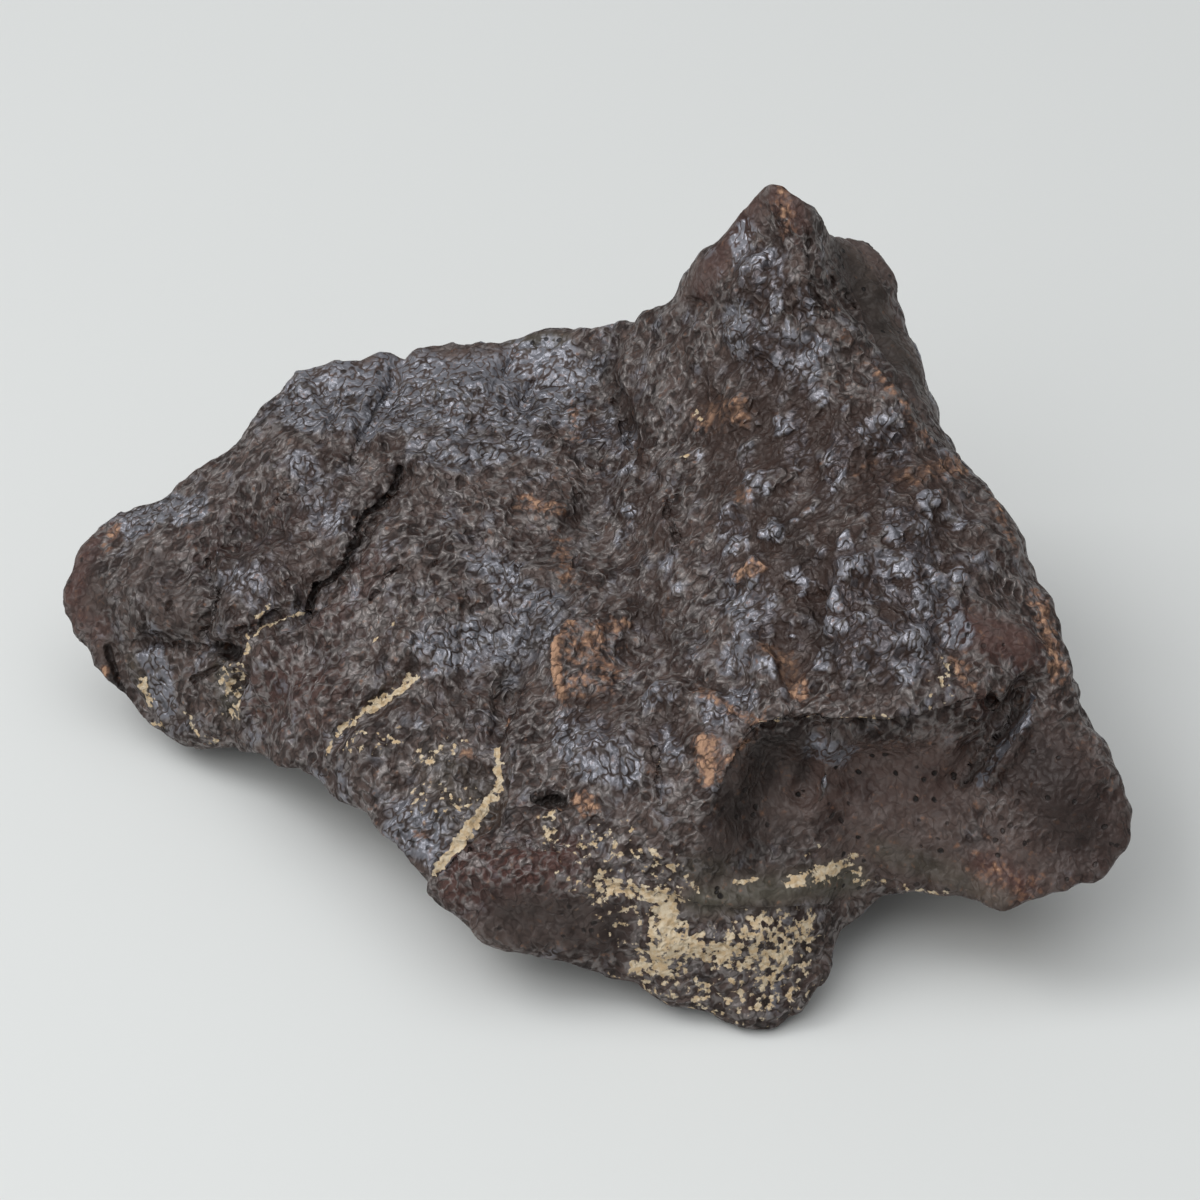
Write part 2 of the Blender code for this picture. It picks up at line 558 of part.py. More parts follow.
def cut_grooves(mesh):
    """Each groove is a V with its deepest line along its course."""
    tree = search_tree(mesh)
    places = places_of(mesh)
    amounts = np.zeros(len(places))
    for half_width, depth, course in GROOVES.values():
        stops = [on_skin(tree, point)[0] for point in course]
        away = np.min([from_line(places, *ends) for ends in zip(stops, stops[1:])], axis=0)
        share = np.clip(1 - away / (half_width * MM), 0, 1)
        amounts = np.minimum(amounts, -share * depth * MM)
    push(mesh, amounts)


def draw_down_soles(mesh):
    """Draw the skin round each resting spot down, which leaves it a little below the table."""
    places = places_of(mesh)
    for across, away in RESTING_SPOTS:
        off = np.hypot(places[:, 0] - across * MM, places[:, 1] - away * MM) / SOLE_RADIUS
        below = (off < 1) & (normals_of(mesh)[:, 2] < 0)
        drop = places[below, 2].min() + SOLE_SINK
        places[below, 2] -= (1 - off[below] ** 2) ** 2 * drop
    mesh.vertices.foreach_set("co", places.ravel())
    mesh.update()


def wear_flat(mesh):
    """Cut off what passes the table, so that the stone rests on flat spots."""
    shape = bmesh.new()
    shape.from_mesh(mesh)
    cut = bmesh.ops.bisect_plane(
        shape,
        geom=shape.verts[:] + shape.edges[:] + shape.faces[:],
        plane_co=(0, 0, 0),
        plane_no=(0, 0, -1),
        clear_outer=True,
    )
    rim = [item for item in cut["geom_cut"] if isinstance(item, bmesh.types.BMEdge)]
    bmesh.ops.holes_fill(shape, edges=rim, sides=0)
    bmesh.ops.triangulate(shape, faces=shape.faces[:])
    bmesh.ops.recalc_face_normals(shape, faces=shape.faces[:])
    shape.to_mesh(mesh)
    shape.free()
    mesh.update()


def centre(mesh):
    """Put the origin below the middle of the stone, on the table."""
    places = places_of(mesh)
    middle = (places.min(axis=0) + places.max(axis=0)) / 2
    middle[2] = 0
    mesh.vertices.foreach_set("co", (places - middle).ravel())
    mesh.update()


def stone_material():
    material = bpy.data.materials.new("weathered_stone")
    material.use_nodes = True
    shader = material.node_tree.nodes["Principled BSDF"]
    shader.inputs["Base Color"].default_value = COLOUR
    shader.inputs["Roughness"].default_value = ROUGHNESS
    shader.inputs["Metallic"].default_value = 0
    return material


def build():
    for old in list(bpy.data.objects):
        bpy.data.objects.remove(old)
    grain = {"mode": "VOXEL", "voxel_size": GRAIN}
    mesh = modified(skin(), ("REMESH", grain), ("SMOOTH", {"iterations": ROUNDING}))
    push(mesh, np.full(len(mesh.vertices), REGROWTH))
    roughen(mesh)
    raise_ledges(mesh)
    swell_lumps(mesh)
    cut_grooves(mesh)
    draw_down_soles(mesh)
    mesh.calc_loop_triangles()
    mesh = modified(mesh, ("DECIMATE", {"ratio": TRIANGLES / len(mesh.loop_triangles)}))
    wear_flat(mesh)
    centre(mesh)
    mesh.materials.append(stone_material())
    mesh.shade_smooth()
    mesh.set_sharp_from_angle(angle=SHARP_EDGE)
    stone = bpy.data.objects.new("stone", mesh)
    bpy.context.scene.collection.objects.link(stone)


build()
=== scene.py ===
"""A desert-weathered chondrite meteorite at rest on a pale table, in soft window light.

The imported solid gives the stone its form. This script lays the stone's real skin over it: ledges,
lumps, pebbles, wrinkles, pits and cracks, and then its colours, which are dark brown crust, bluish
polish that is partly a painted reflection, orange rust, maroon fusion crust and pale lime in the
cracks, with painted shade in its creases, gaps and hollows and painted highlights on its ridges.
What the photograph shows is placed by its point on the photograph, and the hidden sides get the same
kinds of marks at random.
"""

from __future__ import annotations

import logging
import math
from collections.abc import Sequence
from dataclasses import dataclass
from enum import Enum

import bpy
import numpy as np
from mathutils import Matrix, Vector, noise
from mathutils.bvhtree import BVHTree

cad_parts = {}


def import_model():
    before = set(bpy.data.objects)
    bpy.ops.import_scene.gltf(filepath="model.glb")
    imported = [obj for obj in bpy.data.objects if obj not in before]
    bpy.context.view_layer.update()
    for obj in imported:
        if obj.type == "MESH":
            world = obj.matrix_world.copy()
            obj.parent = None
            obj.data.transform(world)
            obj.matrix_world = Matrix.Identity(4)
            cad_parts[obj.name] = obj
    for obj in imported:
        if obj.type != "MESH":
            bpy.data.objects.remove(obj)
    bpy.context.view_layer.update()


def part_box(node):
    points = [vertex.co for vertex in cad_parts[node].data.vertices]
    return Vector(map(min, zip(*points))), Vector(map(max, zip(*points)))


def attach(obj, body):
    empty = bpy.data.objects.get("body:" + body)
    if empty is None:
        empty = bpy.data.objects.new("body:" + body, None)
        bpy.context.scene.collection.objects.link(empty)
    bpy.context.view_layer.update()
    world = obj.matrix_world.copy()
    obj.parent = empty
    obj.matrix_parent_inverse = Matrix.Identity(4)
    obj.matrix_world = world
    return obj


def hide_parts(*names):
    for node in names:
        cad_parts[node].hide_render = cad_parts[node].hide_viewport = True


MM = 0.001
RELIEF = "relief"
DRIFT_SEED = 7  # holds the random ways that places stray, so that each run gives the same stone

LOG = logging.getLogger("meteorite")

Pixel = tuple[float, float]
Colour = tuple[float, float, float, float]
Array = np.ndarray


class Tint(Enum):
    """What the stone's crust is like at a point. Each is an attribute of the mesh, from 0 to 1."""

    RUST = "rust"
    MAROON = "maroon"
    LIME = "lime"
    POLISH = "polish"
    OLIVE = "olive"
    SMOOTH = "smooth"
    # Painted shade: the crust is darkened where shade falls on it.
    SHADE = "shade"
    PEBBLY = "pebbly"


@dataclass(frozen=True)
class Mark:
    """A mark on the side of the stone that the photograph shows.

    Attributes:
        reach: How far it spreads to each side of its course, in millimetres.
        amount: How strong, high or deep it is along its course.
        course: Its points on the photograph, in pixels of a frame 1200 pixels wide.
    """

    reach: float
    amount: float
    course: tuple[Pixel, ...]


def marks(**rows: tuple[float, float, *tuple[Pixel, ...]]) -> dict[str, Mark]:
    """Make named marks, each from its reach, its amount and the points of its course."""
    return {name: Mark(reach, amount, tuple(course)) for name, (reach, amount, *course) in rows.items()}


# The amount of a tint's mark is its strength, from 0 to 1. A stronger one stays full farther out.
RUST_MARKS = marks(
    terrace_edge=(1.1, 1.1, (552, 645), (551, 672), (558, 694)),
    terrace_spread=(3.0, 0.45, (562, 650), (588, 640), (600, 668), (578, 690)),
    terrace_top=(0.7, 0.8, (584, 640), (600, 628), (626, 624)),
    terrace_corner=(0.8, 0.75, (572, 622), (560, 632)),
    fan=(1.4, 0.95, (702, 742), (707, 770)),
    fan_right=(0.9, 0.6, (745, 742), (722, 768)),
    breast=(1.9, 0.75, (700, 415), (738, 412)),
    breast_low=(1.0, 0.7, (735, 490), (742, 497)),
    belly=(1.2, 0.85, (735, 575), (757, 566)),
    rim_vein=(0.9, 0.85, (765, 645), (786, 662), (798, 694)),
    rim_vein_left=(0.8, 0.6, (700, 690), (735, 715), (760, 722)),
    shoulder=(1.4, 0.65, (900, 478), (930, 470), (958, 466)),
    shoulder_left=(0.9, 0.55, (855, 470), (872, 462)),
    middle=(1.3, 0.65, (524, 503), (556, 508)),
    middle_low=(1.0, 0.5, (560, 540), (566, 580)),
    middle_top=(0.8, 0.5, (572, 410), (576, 440)),
    lobe_top=(1.1, 0.65, (952, 662), (968, 688)),
    right_edge=(1.2, 0.7, (1036, 600), (1048, 640), (1056, 672)),
    right_edge_top=(0.9, 0.5, (985, 478), (1010, 540)),
    lobe_foot=(1.6, 0.38, (990, 872), (1030, 890)),
    horn_tip=(1.3, 0.6, (780, 196), (784, 226)),
    horn_edge=(0.8, 0.45, (845, 335), (900, 400), (930, 445)),
    pit_side=(1.0, 0.75, (574, 800), (590, 806)),
    apron_speck=(0.7, 0.6, (462, 750), (466, 752)),
    flank_speck=(0.7, 0.6, (416, 833), (420, 836)),
    left_crust=(0.7, 0.7, (118, 528), (108, 545)),
    left_low=(0.8, 0.6, (106, 672), (114, 700)),
)

MAROON_MARKS = marks(
    foot_lump=(3.4, 1.0, (462, 868), (500, 862), (548, 858)),
    foot_lump_low=(2.2, 0.8, (470, 895), (450, 885)),
    horn_tip=(2.0, 0.7, (778, 200), (792, 222)),
    left_rim=(1.8, 0.7, (72, 600), (80, 565), (108, 532)),
    left_rim_low=(1.6, 0.6, (82, 620), (100, 628)),
    cheek=(4.4, 0.5, (262, 690), (310, 690)),
    brown_patch=(2.6, 0.7, (965, 628), (1020, 648)),
    lobe=(5.0, 0.45, (1040, 770), (1090, 840)),
    bite=(5.0, 0.2, (830, 770), (930, 770)),
    lobe_foot=(2.0, 0.9, (985, 872), (1020, 888)),
    horn_side=(2.0, 0.5, (700, 285), (730, 240), (752, 210)),
    left_band=(3.0, 0.4, (200, 545), (290, 530)),
    right_of_crack=(2.6, 0.4, (372, 560), (330, 620)),
    groove_left=(1.4, 0.7, (965, 700), (985, 705)),
)

LIME_MARKS = marks(
    upper_vein=(0.5, 1.2, (413, 680), (393, 693), (366, 710)),
    upper_vein_thin=(0.32, 1.1, (366, 710), (335, 735), (324, 755)),
    lower_vein_thin=(0.34, 1.1, (496, 747), (499, 771), (496, 790)),
    lower_vein=(0.5, 1.2, (496, 790), (486, 806), (469, 826)),
    lower_vein_wide=(0.7, 1.15, (469, 826), (460, 842), (448, 857), (436, 869)),
    crack_edge=(0.28, 1.05, (306, 613), (280, 618), (262, 626), (248, 638), (243, 655)),
    crack_edge_low=(0.25, 0.8, (243, 655), (241, 687), (239, 712)),
    crack_branch=(0.35, 0.75, (271, 606), (258, 619)),
    lobe_pocket=(1.4, 0.5, (231, 668), (226, 690), (234, 715)),
    flake_edge=(0.8, 0.8, (141, 684), (150, 706)),
    flake_foot=(0.6, 0.6, (142, 726), (160, 727)),
    flake_foot_right=(0.6, 0.6, (186, 716), (200, 738), (222, 742)),
    apron_specks=(1.4, 0.36, (422, 756), (455, 748)),
    apron_specks_low=(2.2, 0.34, (416, 800), (462, 806)),
    apron_specks_left=(1.6, 0.35, (350, 740), (392, 742)),
    pit_side=(1.0, 0.6, (548, 815), (546, 840)),
    foot_top=(1.1, 0.45, (575, 842), (618, 842)),
    foot_scratch=(0.22, 0.7, (628, 816), (630, 835), (655, 854), (674, 873), (703, 896)),
    foot_crest=(1.4, 0.66, (600, 884), (650, 897), (672, 897)),
    foot_body=(2.0, 0.85, (662, 905), (668, 935), (655, 965)),
    foot_body_left=(1.2, 0.75, (655, 968), (632, 970)),
    foot_band=(2.0, 0.8, (690, 948), (732, 952)),
    foot_band_right=(1.8, 0.72, (742, 962), (782, 960)),
    foot_specks=(2.2, 0.58, (752, 935), (806, 930)),
    foot_specks_low=(3.2, 0.42, (640, 985), (700, 1000), (760, 1000), (800, 975)),
    foot_specks_left=(2.8, 0.33, (580, 870), (620, 910), (640, 940)),
    foot_specks_top=(2.4, 0.33, (600, 840), (660, 870)),
    bite_patch=(1.0, 0.8, (790, 884), (818, 874), (840, 866)),
    bite_patch_right=(0.7, 0.6, (846, 850), (860, 885)),
    bite_line=(0.22, 0.9, (732, 883), (764, 877)),
    bite_line_right=(0.2, 0.8, (794, 861), (821, 846)),
    band_line=(0.22, 0.9, (722, 940), (738, 931), (754, 918), (786, 915)),
    pale_scratch=(0.22, 0.7, (371, 642), (389, 629), (402, 605)),
    rim_line=(0.25, 0.5, (755, 724), (800, 718), (850, 719), (900, 721)),
    right_belly=(1.2, 0.4, (946, 668), (938, 700)),
    breast_speck=(0.5, 0.6, (694, 412), (696, 420)),
    breast_speck_right=(0.4, 0.7, (681, 455), (684, 460)),
    arch_line=(0.4, 0.5, (870, 880), (900, 890), (960, 895)),
)

# The bluish polish is glossy, and its pale bluish colour is partly a painted reflection of the lights.
POLISH_MARKS = marks(
    crest_left=(5.0, 0.9, (310, 400), (345, 400)),
    crest=(6.0, 0.9, (360, 400), (470, 392), (548, 385)),
    crest_low=(3.8, 0.5, (430, 450), (520, 440)),
    crack_left=(2.8, 0.55, (300, 470), (330, 520)),
    lobe_top=(2.2, 1.0, (135, 524), (165, 508), (190, 512)),
    lobe_middle=(2.4, 0.6, (230, 570), (262, 600)),
    flake=(2.0, 0.9, (152, 660), (165, 705)),
    horn_left=(1.5, 0.9, (738, 235), (740, 275)),
    horn_left_low=(2.0, 0.8, (762, 262), (765, 285)),
    horn_ridge=(1.0, 1.0, (803, 298), (806, 318)),
    horn_root=(2.8, 0.95, (735, 330), (765, 355)),
    horn_root_right=(1.8, 0.8, (810, 352), (800, 380)),
    breast_left=(1.3, 0.95, (792, 420), (797, 462)),
    breast=(1.6, 1.0, (835, 448), (832, 468)),
    breast_right=(2.0, 0.85, (870, 430), (895, 450)),
    shoulder=(2.6, 0.85, (900, 520), (918, 545)),
    shoulder_low=(3.2, 1.0, (925, 590), (940, 620)),
    dome=(3.8, 1.0, (850, 640), (895, 650)),
    dome_top=(3.2, 0.9, (845, 580), (880, 575)),
    belly=(2.6, 1.0, (742, 588), (752, 612)),
    belly_low=(1.9, 0.85, (738, 640), (732, 665)),
    valley=(2.4, 0.7, (590, 430), (622, 440)),
    valley_right=(1.5, 0.8, (725, 515), (735, 535)),
    middle=(2.8, 0.6, (480, 560), (510, 590)),
    middle_low=(4.0, 0.55, (440, 650), (500, 640), (540, 620)),
    plateau=(1.6, 0.95, (648, 690), (664, 694)),
    plateau_low=(2.1, 0.8, (715, 705), (740, 700)),
    apron=(3.2, 0.9, (575, 735), (610, 760)),
    apron_right=(1.7, 0.6, (660, 735), (668, 755)),
    flank_low=(3.0, 0.7, (400, 820), (430, 840)),
    notch=(1.7, 0.6, (815, 748), (845, 756)),
    groove_face=(0.95, 1.0, (977, 780), (1000, 748), (1022, 722)),
    groove_edge=(0.35, 0.9, (1015, 735), (1026, 708), (1031, 694)),
)

OLIVE_MARKS = marks(
    green_band=(1.8, 1.0, (700, 902), (760, 890), (850, 880)),
    green_band_left=(1.5, 0.7, (690, 870), (720, 870)),
    crest_facet=(1.2, 0.8, (400, 348), (470, 342), (560, 342)),
    horn_plane=(2.2, 0.35, (850, 260), (880, 320), (915, 385)),
    pocket=(1.6, 1.0, (222, 672), (230, 710)),
    flake=(1.4, 0.7, (132, 668), (150, 700)),
    pit=(0.8, 0.7, (547, 822), (547, 838)),
    bite_edge=(1.4, 0.6, (880, 850), (960, 880), (1000, 898)),
    apron=(3.0, 0.5, (440, 770), (470, 800)),
)

SMOOTH_MARKS = marks(
    bite=(5.6, 1.0, (775, 790), (850, 775), (930, 790)),
    bite_low=(3.8, 1.0, (850, 840), (930, 860), (985, 885)),
    bite_left=(3.4, 0.8, (745, 780), (725, 840)),
    lobe=(5.6, 0.8, (1045, 770), (1085, 830)),
    lobe_low=(3.8, 0.8, (1000, 850), (1050, 870)),
    horn_plane=(3.2, 1.0, (838, 255), (875, 320), (915, 390)),
    horn_tip=(1.6, 0.7, (775, 195), (800, 215)),
    horn_side=(2.4, 0.9, (690, 290), (722, 250), (748, 212)),
    brown_patch=(2.5, 0.85, (965, 625), (1020, 645)),
    foot_facet=(3.6, 0.8, (505, 915), (560, 925), (600, 930)),
    green_band=(2.2, 1.0, (700, 895), (780, 885), (850, 880)),
    left_tip=(2.8, 0.75, (80, 560), (84, 610)),
    left_low=(2.2, 0.6, (98, 640), (112, 690)),
    lobe_middle=(2.8, 0.5, (150, 570), (175, 620)),
    crest_facet=(1.4, 0.9, (400, 348), (470, 342), (560, 342)),
    crest=(3.2, 0.7, (330, 375), (400, 366), (480, 362), (560, 368)),
    back_horn=(2.2, 0.8, (850, 245), (882, 275)),
)

# Painted shade: hollows, pits, the bite's wall and faces that turn from the lamps are darkened.
SHADE_MARKS = marks(
    bite_wall=(3.0, 1.0, (775, 745), (750, 785), (735, 820)),
    bite_notch=(1.2, 0.9, (802, 742), (800, 775)),
    bite_lip=(1.2, 0.5, (830, 738), (900, 730)),
    groove=(0.9, 0.9, (962, 782), (990, 745), (1020, 710)),
    lobe_hollow=(2.0, 0.6, (210, 540), (280, 530)),
    lobe_crease=(1.0, 0.8, (216, 652), (238, 652)),
    lobe=(5.5, 0.28, (115, 590), (200, 590)),
    middle_hollow=(2.2, 0.45, (570, 500), (560, 600), (505, 690)),
    valley=(1.8, 0.5, (600, 360), (625, 430)),
    dark_pit=(0.9, 0.9, (544, 800), (562, 803)),
    foot_facet=(2.8, 0.6, (500, 910), (560, 920), (600, 925)),
    foot_hollow=(2.4, 0.6, (720, 850), (780, 840)),
    breast_left=(1.6, 0.5, (780, 520), (800, 560)),
    dome_side=(1.2, 0.6, (812, 620), (826, 655)),
    horn_cleft=(0.8, 0.8, (830, 262), (850, 300)),
    left_crevice=(0.8, 0.8, (108, 650), (118, 685), (138, 714)),
    plateau=(2.0, 0.4, (640, 610), (690, 640)),
    lobe_face=(4.8, 1.0, (1040, 770), (1080, 830)),
    horn_plane=(2.6, 0.7, (840, 260), (875, 320), (912, 385)),
)

# On the pebbly parts the polish is painted lighter, as painted light where the lamps leave them darker.
PEBBLY_MARKS = marks(
    breast=(6.0, 1.0, (740, 440), (830, 440), (900, 480), (930, 540)),
    belly=(6.0, 1.0, (760, 530), (840, 570), (900, 620), (800, 640)),
    horn=(3.5, 0.9, (745, 250), (770, 300), (770, 370), (700, 400)),
    middle=(3.5, 0.5, (610, 420), (630, 480), (660, 560), (640, 640)),
    apron=(3.5, 0.5, (580, 720), (640, 740), (690, 700)),
    lobe=(3.5, 0.45, (240, 560), (280, 600), (320, 480)),
)

MARKS = {
    Tint.RUST: RUST_MARKS,
    Tint.MAROON: MAROON_MARKS,
    Tint.LIME: LIME_MARKS,
    Tint.POLISH: POLISH_MARKS,
    Tint.OLIVE: OLIVE_MARKS,
    Tint.SMOOTH: SMOOTH_MARKS,
    Tint.SHADE: SHADE_MARKS,
    Tint.PEBBLY: PEBBLY_MARKS,
}

# Soft swellings and hollows. The amount is how far each swells out, in millimetres.
FORMS = marks(
    lobe_hollow=(2.4, -0.5, (212, 550), (255, 538), (292, 528)),
    lobe_hump=(3.6, 0.45, (148, 600), (165, 560)),
    cheek=(2.8, 0.4, (268, 690), (320, 690)),
    valley=(2.8, -0.5, (600, 350), (612, 430), (590, 520)),
    gully=(2.6, -0.5, (560, 590), (530, 650), (505, 700)),
    terrace=(2.2, 0.5, (572, 650), (590, 665)),
    dome=(2.8, 0.5, (870, 635), (905, 640)),
    shoulder=(2.0, 0.4, (905, 530), (925, 600)),
    horn_root=(2.2, 0.4, (735, 335), (765, 355)),
    foot_lump=(2.8, 0.5, (480, 866), (545, 862)),
    bite_deep=(3.6, -0.6, (790, 790), (850, 775)),
    plateau=(2.0, 0.3, (650, 690), (700, 700)),
    apron=(2.2, 0.3, (570, 735), (610, 755)),
    groove_lip=(0.8, 0.4, (1034, 705), (1014, 745), (985, 785)),
)

# Edges of broken crust. The skin is lower on their right, as the photograph shows it, by the amount in
# millimetres, and comes back up over the reach.
LEDGES = marks(
    bite_rim=(
        3.4, 0.9, (712, 806), (728, 768), (752, 727), (800, 716),
        (850, 720), (905, 720), (960, 704), (1000, 694),
    ),
    horn_ridge=(
        2.4, 0.6, (940, 446), (905, 400), (880, 370), (850, 338),
        (812, 298), (802, 232), (788, 190),
    ),
    terrace=(2.0, 0.6, (582, 608), (560, 626), (551, 645), (549, 672), (556, 700)),
    bite_notch=(1.6, 0.35, (818, 748), (807, 775), (801, 802)),
    crest=(1.0, 0.2, (568, 351), (520, 350), (460, 351), (400, 355)),
    upper_vein=(1.6, 0.35, (420, 676), (392, 692), (360, 714), (330, 742)),
    crack_edge=(1.4, 0.4, (320, 606), (280, 617), (256, 628), (245, 645), (242, 680)),
    lobe_curve=(1.4, 0.35, (207, 560), (208, 582), (217, 602), (211, 622), (200, 638)),
    apron_edge=(1.6, 0.4, (440, 872), (470, 848), (520, 842), (572, 850)),
    foot_crest=(1.6, 0.4, (580, 872), (620, 884), (660, 893), (700, 905), (760, 908), (840, 905)),
    fan=(1.4, 0.35, (690, 700), (735, 712), (758, 722)),
    groove=(1.6, 0.85, (950, 792), (975, 758), (1000, 726), (1016, 706)),
)

# Cracks, creases and pits. The amount is the depth and the reach is half the width of the mouth.
CUTS = marks(
    main_crack_top=(0.2, 0.9, (399, 470), (397, 484), (392, 494), (382, 505), (369, 515)),
    main_crack_wide=(0.28, 1.1, (369, 515), (361, 526), (362, 536), (351, 553)),
    main_crack=(0.2, 0.9, (351, 553), (345, 567), (334, 581), (318, 589)),
    main_crack_foot=(0.28, 1.0, (318, 589), (313, 602), (309, 610)),
    main_crack_twin=(0.15, 0.4, (376, 520), (367, 534)),
    lobe_crack=(0.2, 0.6, (274, 616), (256, 627), (237, 632)),
    lobe_pit=(0.6, 1.0, (222, 650), (236, 655)),
    lobe_pit_tail=(0.3, 0.6, (221, 664), (208, 673), (192, 682)),
    lobe_crease=(0.2, 0.4, (154, 646), (180, 645), (207, 650), (235, 650)),
    lobe_curve=(0.2, 0.4, (207, 562), (209, 583), (218, 599), (212, 620), (200, 638)),
    lobe_pinhole=(0.26, 0.4, (169, 605), (168, 609)),
    lobe_nick=(0.16, 0.3, (143, 614), (145, 630)),
    left_crevice=(0.28, 0.6, (108, 650), (115, 671), (121, 690), (132, 706), (140, 720)),
    upper_crack=(0.15, 0.35, (390, 370), (392, 384), (376, 414), (361, 440), (352, 464)),
    upper_crack_left=(0.16, 0.3, (344, 388), (330, 420), (318, 442)),
    left_nick=(0.16, 0.3, (290, 491), (276, 503)),
    side_crack=(0.18, 0.5, (400, 567), (382, 578), (377, 592), (370, 599)),
    side_nick=(0.15, 0.3, (435, 562), (427, 571)),
    crest_nick=(0.15, 0.35, (510, 360), (504, 376)),
    crest_nick_right=(0.16, 0.3, (531, 384), (525, 402)),
    valley_crack=(0.15, 0.35, (611, 402), (620, 420), (622, 440), (631, 452), (629, 468)),
    valley_crack_low=(0.15, 0.35, (680, 490), (670, 498), (663, 513), (671, 525), (676, 542)),
    middle_nick=(0.16, 0.35, (575, 488), (577, 500)),
    middle_nick_low=(0.16, 0.35, (575, 552), (574, 566)),
    middle_crack=(0.16, 0.35, (517, 563), (514, 576)),
    gully_crack=(0.14, 0.25, (508, 690), (505, 720), (497, 745)),
    dark_pit=(0.35, 0.45, (534, 797), (543, 804), (556, 800), (561, 806)),
    flange_crease=(0.22, 0.4, (682, 300), (694, 303), (704, 308)),
    horn_hole=(0.2, 0.4, (766, 264), (766, 267)),
    horn_hole_right=(0.36, 0.5, (813, 313), (823, 315)),
    cleft=(0.26, 0.6, (847, 298), (856, 309)),
    cleft_top=(0.16, 0.4, (831, 280), (834, 288)),
    groove_hole=(0.4, 0.5, (988, 702), (992, 704)),
    groove_hole_left=(0.3, 0.4, (967, 724), (971, 727)),
    bite_pit=(0.24, 0.3, (875, 741), (876, 742)),
    bite_pit_left=(0.22, 0.3, (838, 760), (839, 761)),
    lobe_face_pit=(0.26, 0.35, (1019, 795), (1021, 796)),
    foot_crease=(0.18, 0.4, (438, 872), (455, 858), (470, 838)),
    fan_crack=(0.18, 0.4, (652, 749), (656, 775), (658, 803)),
)


@dataclass(frozen=True)
class Sight:
    """Where the photograph was taken from, and the way through each of its points.

    Attributes:
        middle: The place in the middle of the photograph.
        elevation: How far the camera looks down on the table.
        distance: From the camera to the middle.
        focal_length: The camera's focal length, in millimetres.
        film: The width of its film, in millimetres.
        frame: The width and height of the photograph, in pixels.
        stride: The most that two points of a course are apart, in pixels.
    """

    middle: Vector = Vector((2.06, -2.06, 18.0)) * MM
    elevation: float = math.radians(40)
    distance: float = 250 * MM
    focal_length: float = 100.0
    film: float = 36.0
    frame: int = 1200
    stride: float = 7.0

    @property
    def back(self) -> Vector:
        """The way from the middle of the photograph to the camera."""
        return Vector((0, -math.cos(self.elevation), math.sin(self.elevation)))

    @property
    def upward(self) -> Vector:
        """The way up on the photograph."""
        return Vector((0, math.sin(self.elevation), math.cos(self.elevation)))

    @property
    def eye(self) -> Vector:
        """The camera's place."""
        return self.middle + self.back * self.distance

    @property
    def step(self) -> float:
        """The width of a pixel at the middle of the photograph, in metres."""
        return self.distance * self.film / self.focal_length / self.frame

    def ray(self, pixel: Pixel) -> Vector:
        """The way from the camera through a point of the photograph.

        Args:
            pixel: The point, across from the left and down from the top.

        Returns:
            The direction, of length one.
        """
        across = (pixel[0] - self.frame / 2) * self.step
        up = (self.frame / 2 - pixel[1]) * self.step
        return (self.middle + Vector((across, 0, 0)) + self.upward * up - self.eye).normalized()

    def on_frame(self, places: Array) -> Array:
        """Where places show on the photograph.

        Args:
            places: The places, one row each.

        Returns:
            Their pixels, one row each.
        """
        from_eye = places - np.array(self.eye)
        nearer = self.distance / (from_eye @ -np.array(self.back)) / self.step
        across = self.frame / 2 + from_eye[:, 0] * nearer
        down = self.frame / 2 - (from_eye @ np.array(self.upward)) * nearer
        return np.column_stack((across, down))

    def on_stone(self, name: str, course: Sequence[Pixel], tree: BVHTree) -> Array:
        """The places on the stone that a course on the photograph shows.

        Args:
            name: What the course is, for the message if it misses the stone.
            course: Its points on the photograph.
            tree: The stone's faces.

        Returns:
            Places close together along the course, one row each.
        """
        pixels = [course[0]]
        for start, end in zip(course, course[1:]):
            parts = max(1, math.ceil(math.dist(start, end) / self.stride))
            shares = [part / parts for part in range(1, parts + 1)]
            pixels += [tuple(a + (b - a) * share for a, b in zip(start, end)) for share in shares]
        hits = [tree.ray_cast(self.eye, self.ray(pixel))[0] for pixel in pixels]
        found = [hit for hit in hits if hit is not None]
        if not found:
            raise ValueError(f"{name} misses the stone")
        if len(found) < len(hits):
            LOG.info("%s: %d of its %d points miss the stone", name, len(hits) - len(found), len(hits))
        return np.array(found)

    def place_camera(self) -> bpy.types.Object:
        """Set up the camera at the photograph's viewpoint.

        Returns:
            The camera.
        """
        data = bpy.data.cameras.new("viewpoint")
        data.lens = self.focal_length
        data.sensor_width = self.film
        data.clip_start = self.distance / 50
        data.clip_end = self.distance * 100
        camera = bpy.data.objects.new("viewpoint", data)
        camera.location = self.eye
        camera.rotation_euler = (math.pi / 2 - self.elevation, 0, 0)
        bpy.context.scene.collection.objects.link(camera)
        bpy.context.scene.camera = camera
        return camera


def smooth_step(share: Array) -> Array:
    """Ease values from 0 to 1, with no slope at either end, after cutting them off at 0 and 1."""
    inside = np.clip(share, 0, 1)
    return inside * inside * (3 - 2 * inside)


def from_course(places: Array, course: Array, reach: float) -> Array:
    """How far each place is from a line through several points.

    Args:
        places: The places, one row each.
        course: The line's points. One point alone is a dot.
        reach: Places farther than this needn't be measured.

    Returns:
        The distances, which are endless beyond the reach.
    """
    nearest = np.full(len(places), np.inf)
    above = np.all(places > course.min(axis=0) - reach, axis=1)
    close = np.flatnonzero(above & np.all(places < course.max(axis=0) + reach, axis=1))
    some = places[close]
    ends = list(zip(course, course[1:])) or [(course[0], course[0])]
    best = np.full(len(close), np.inf)
    for start, end in ends:
        run = end - start
        share = np.clip((some - start) @ run / max(float(run @ run), 1e-18), 0, 1)
        best = np.minimum(best, np.linalg.norm(some - start - share[:, None] * run, axis=1))
    nearest[close] = best
    return nearest


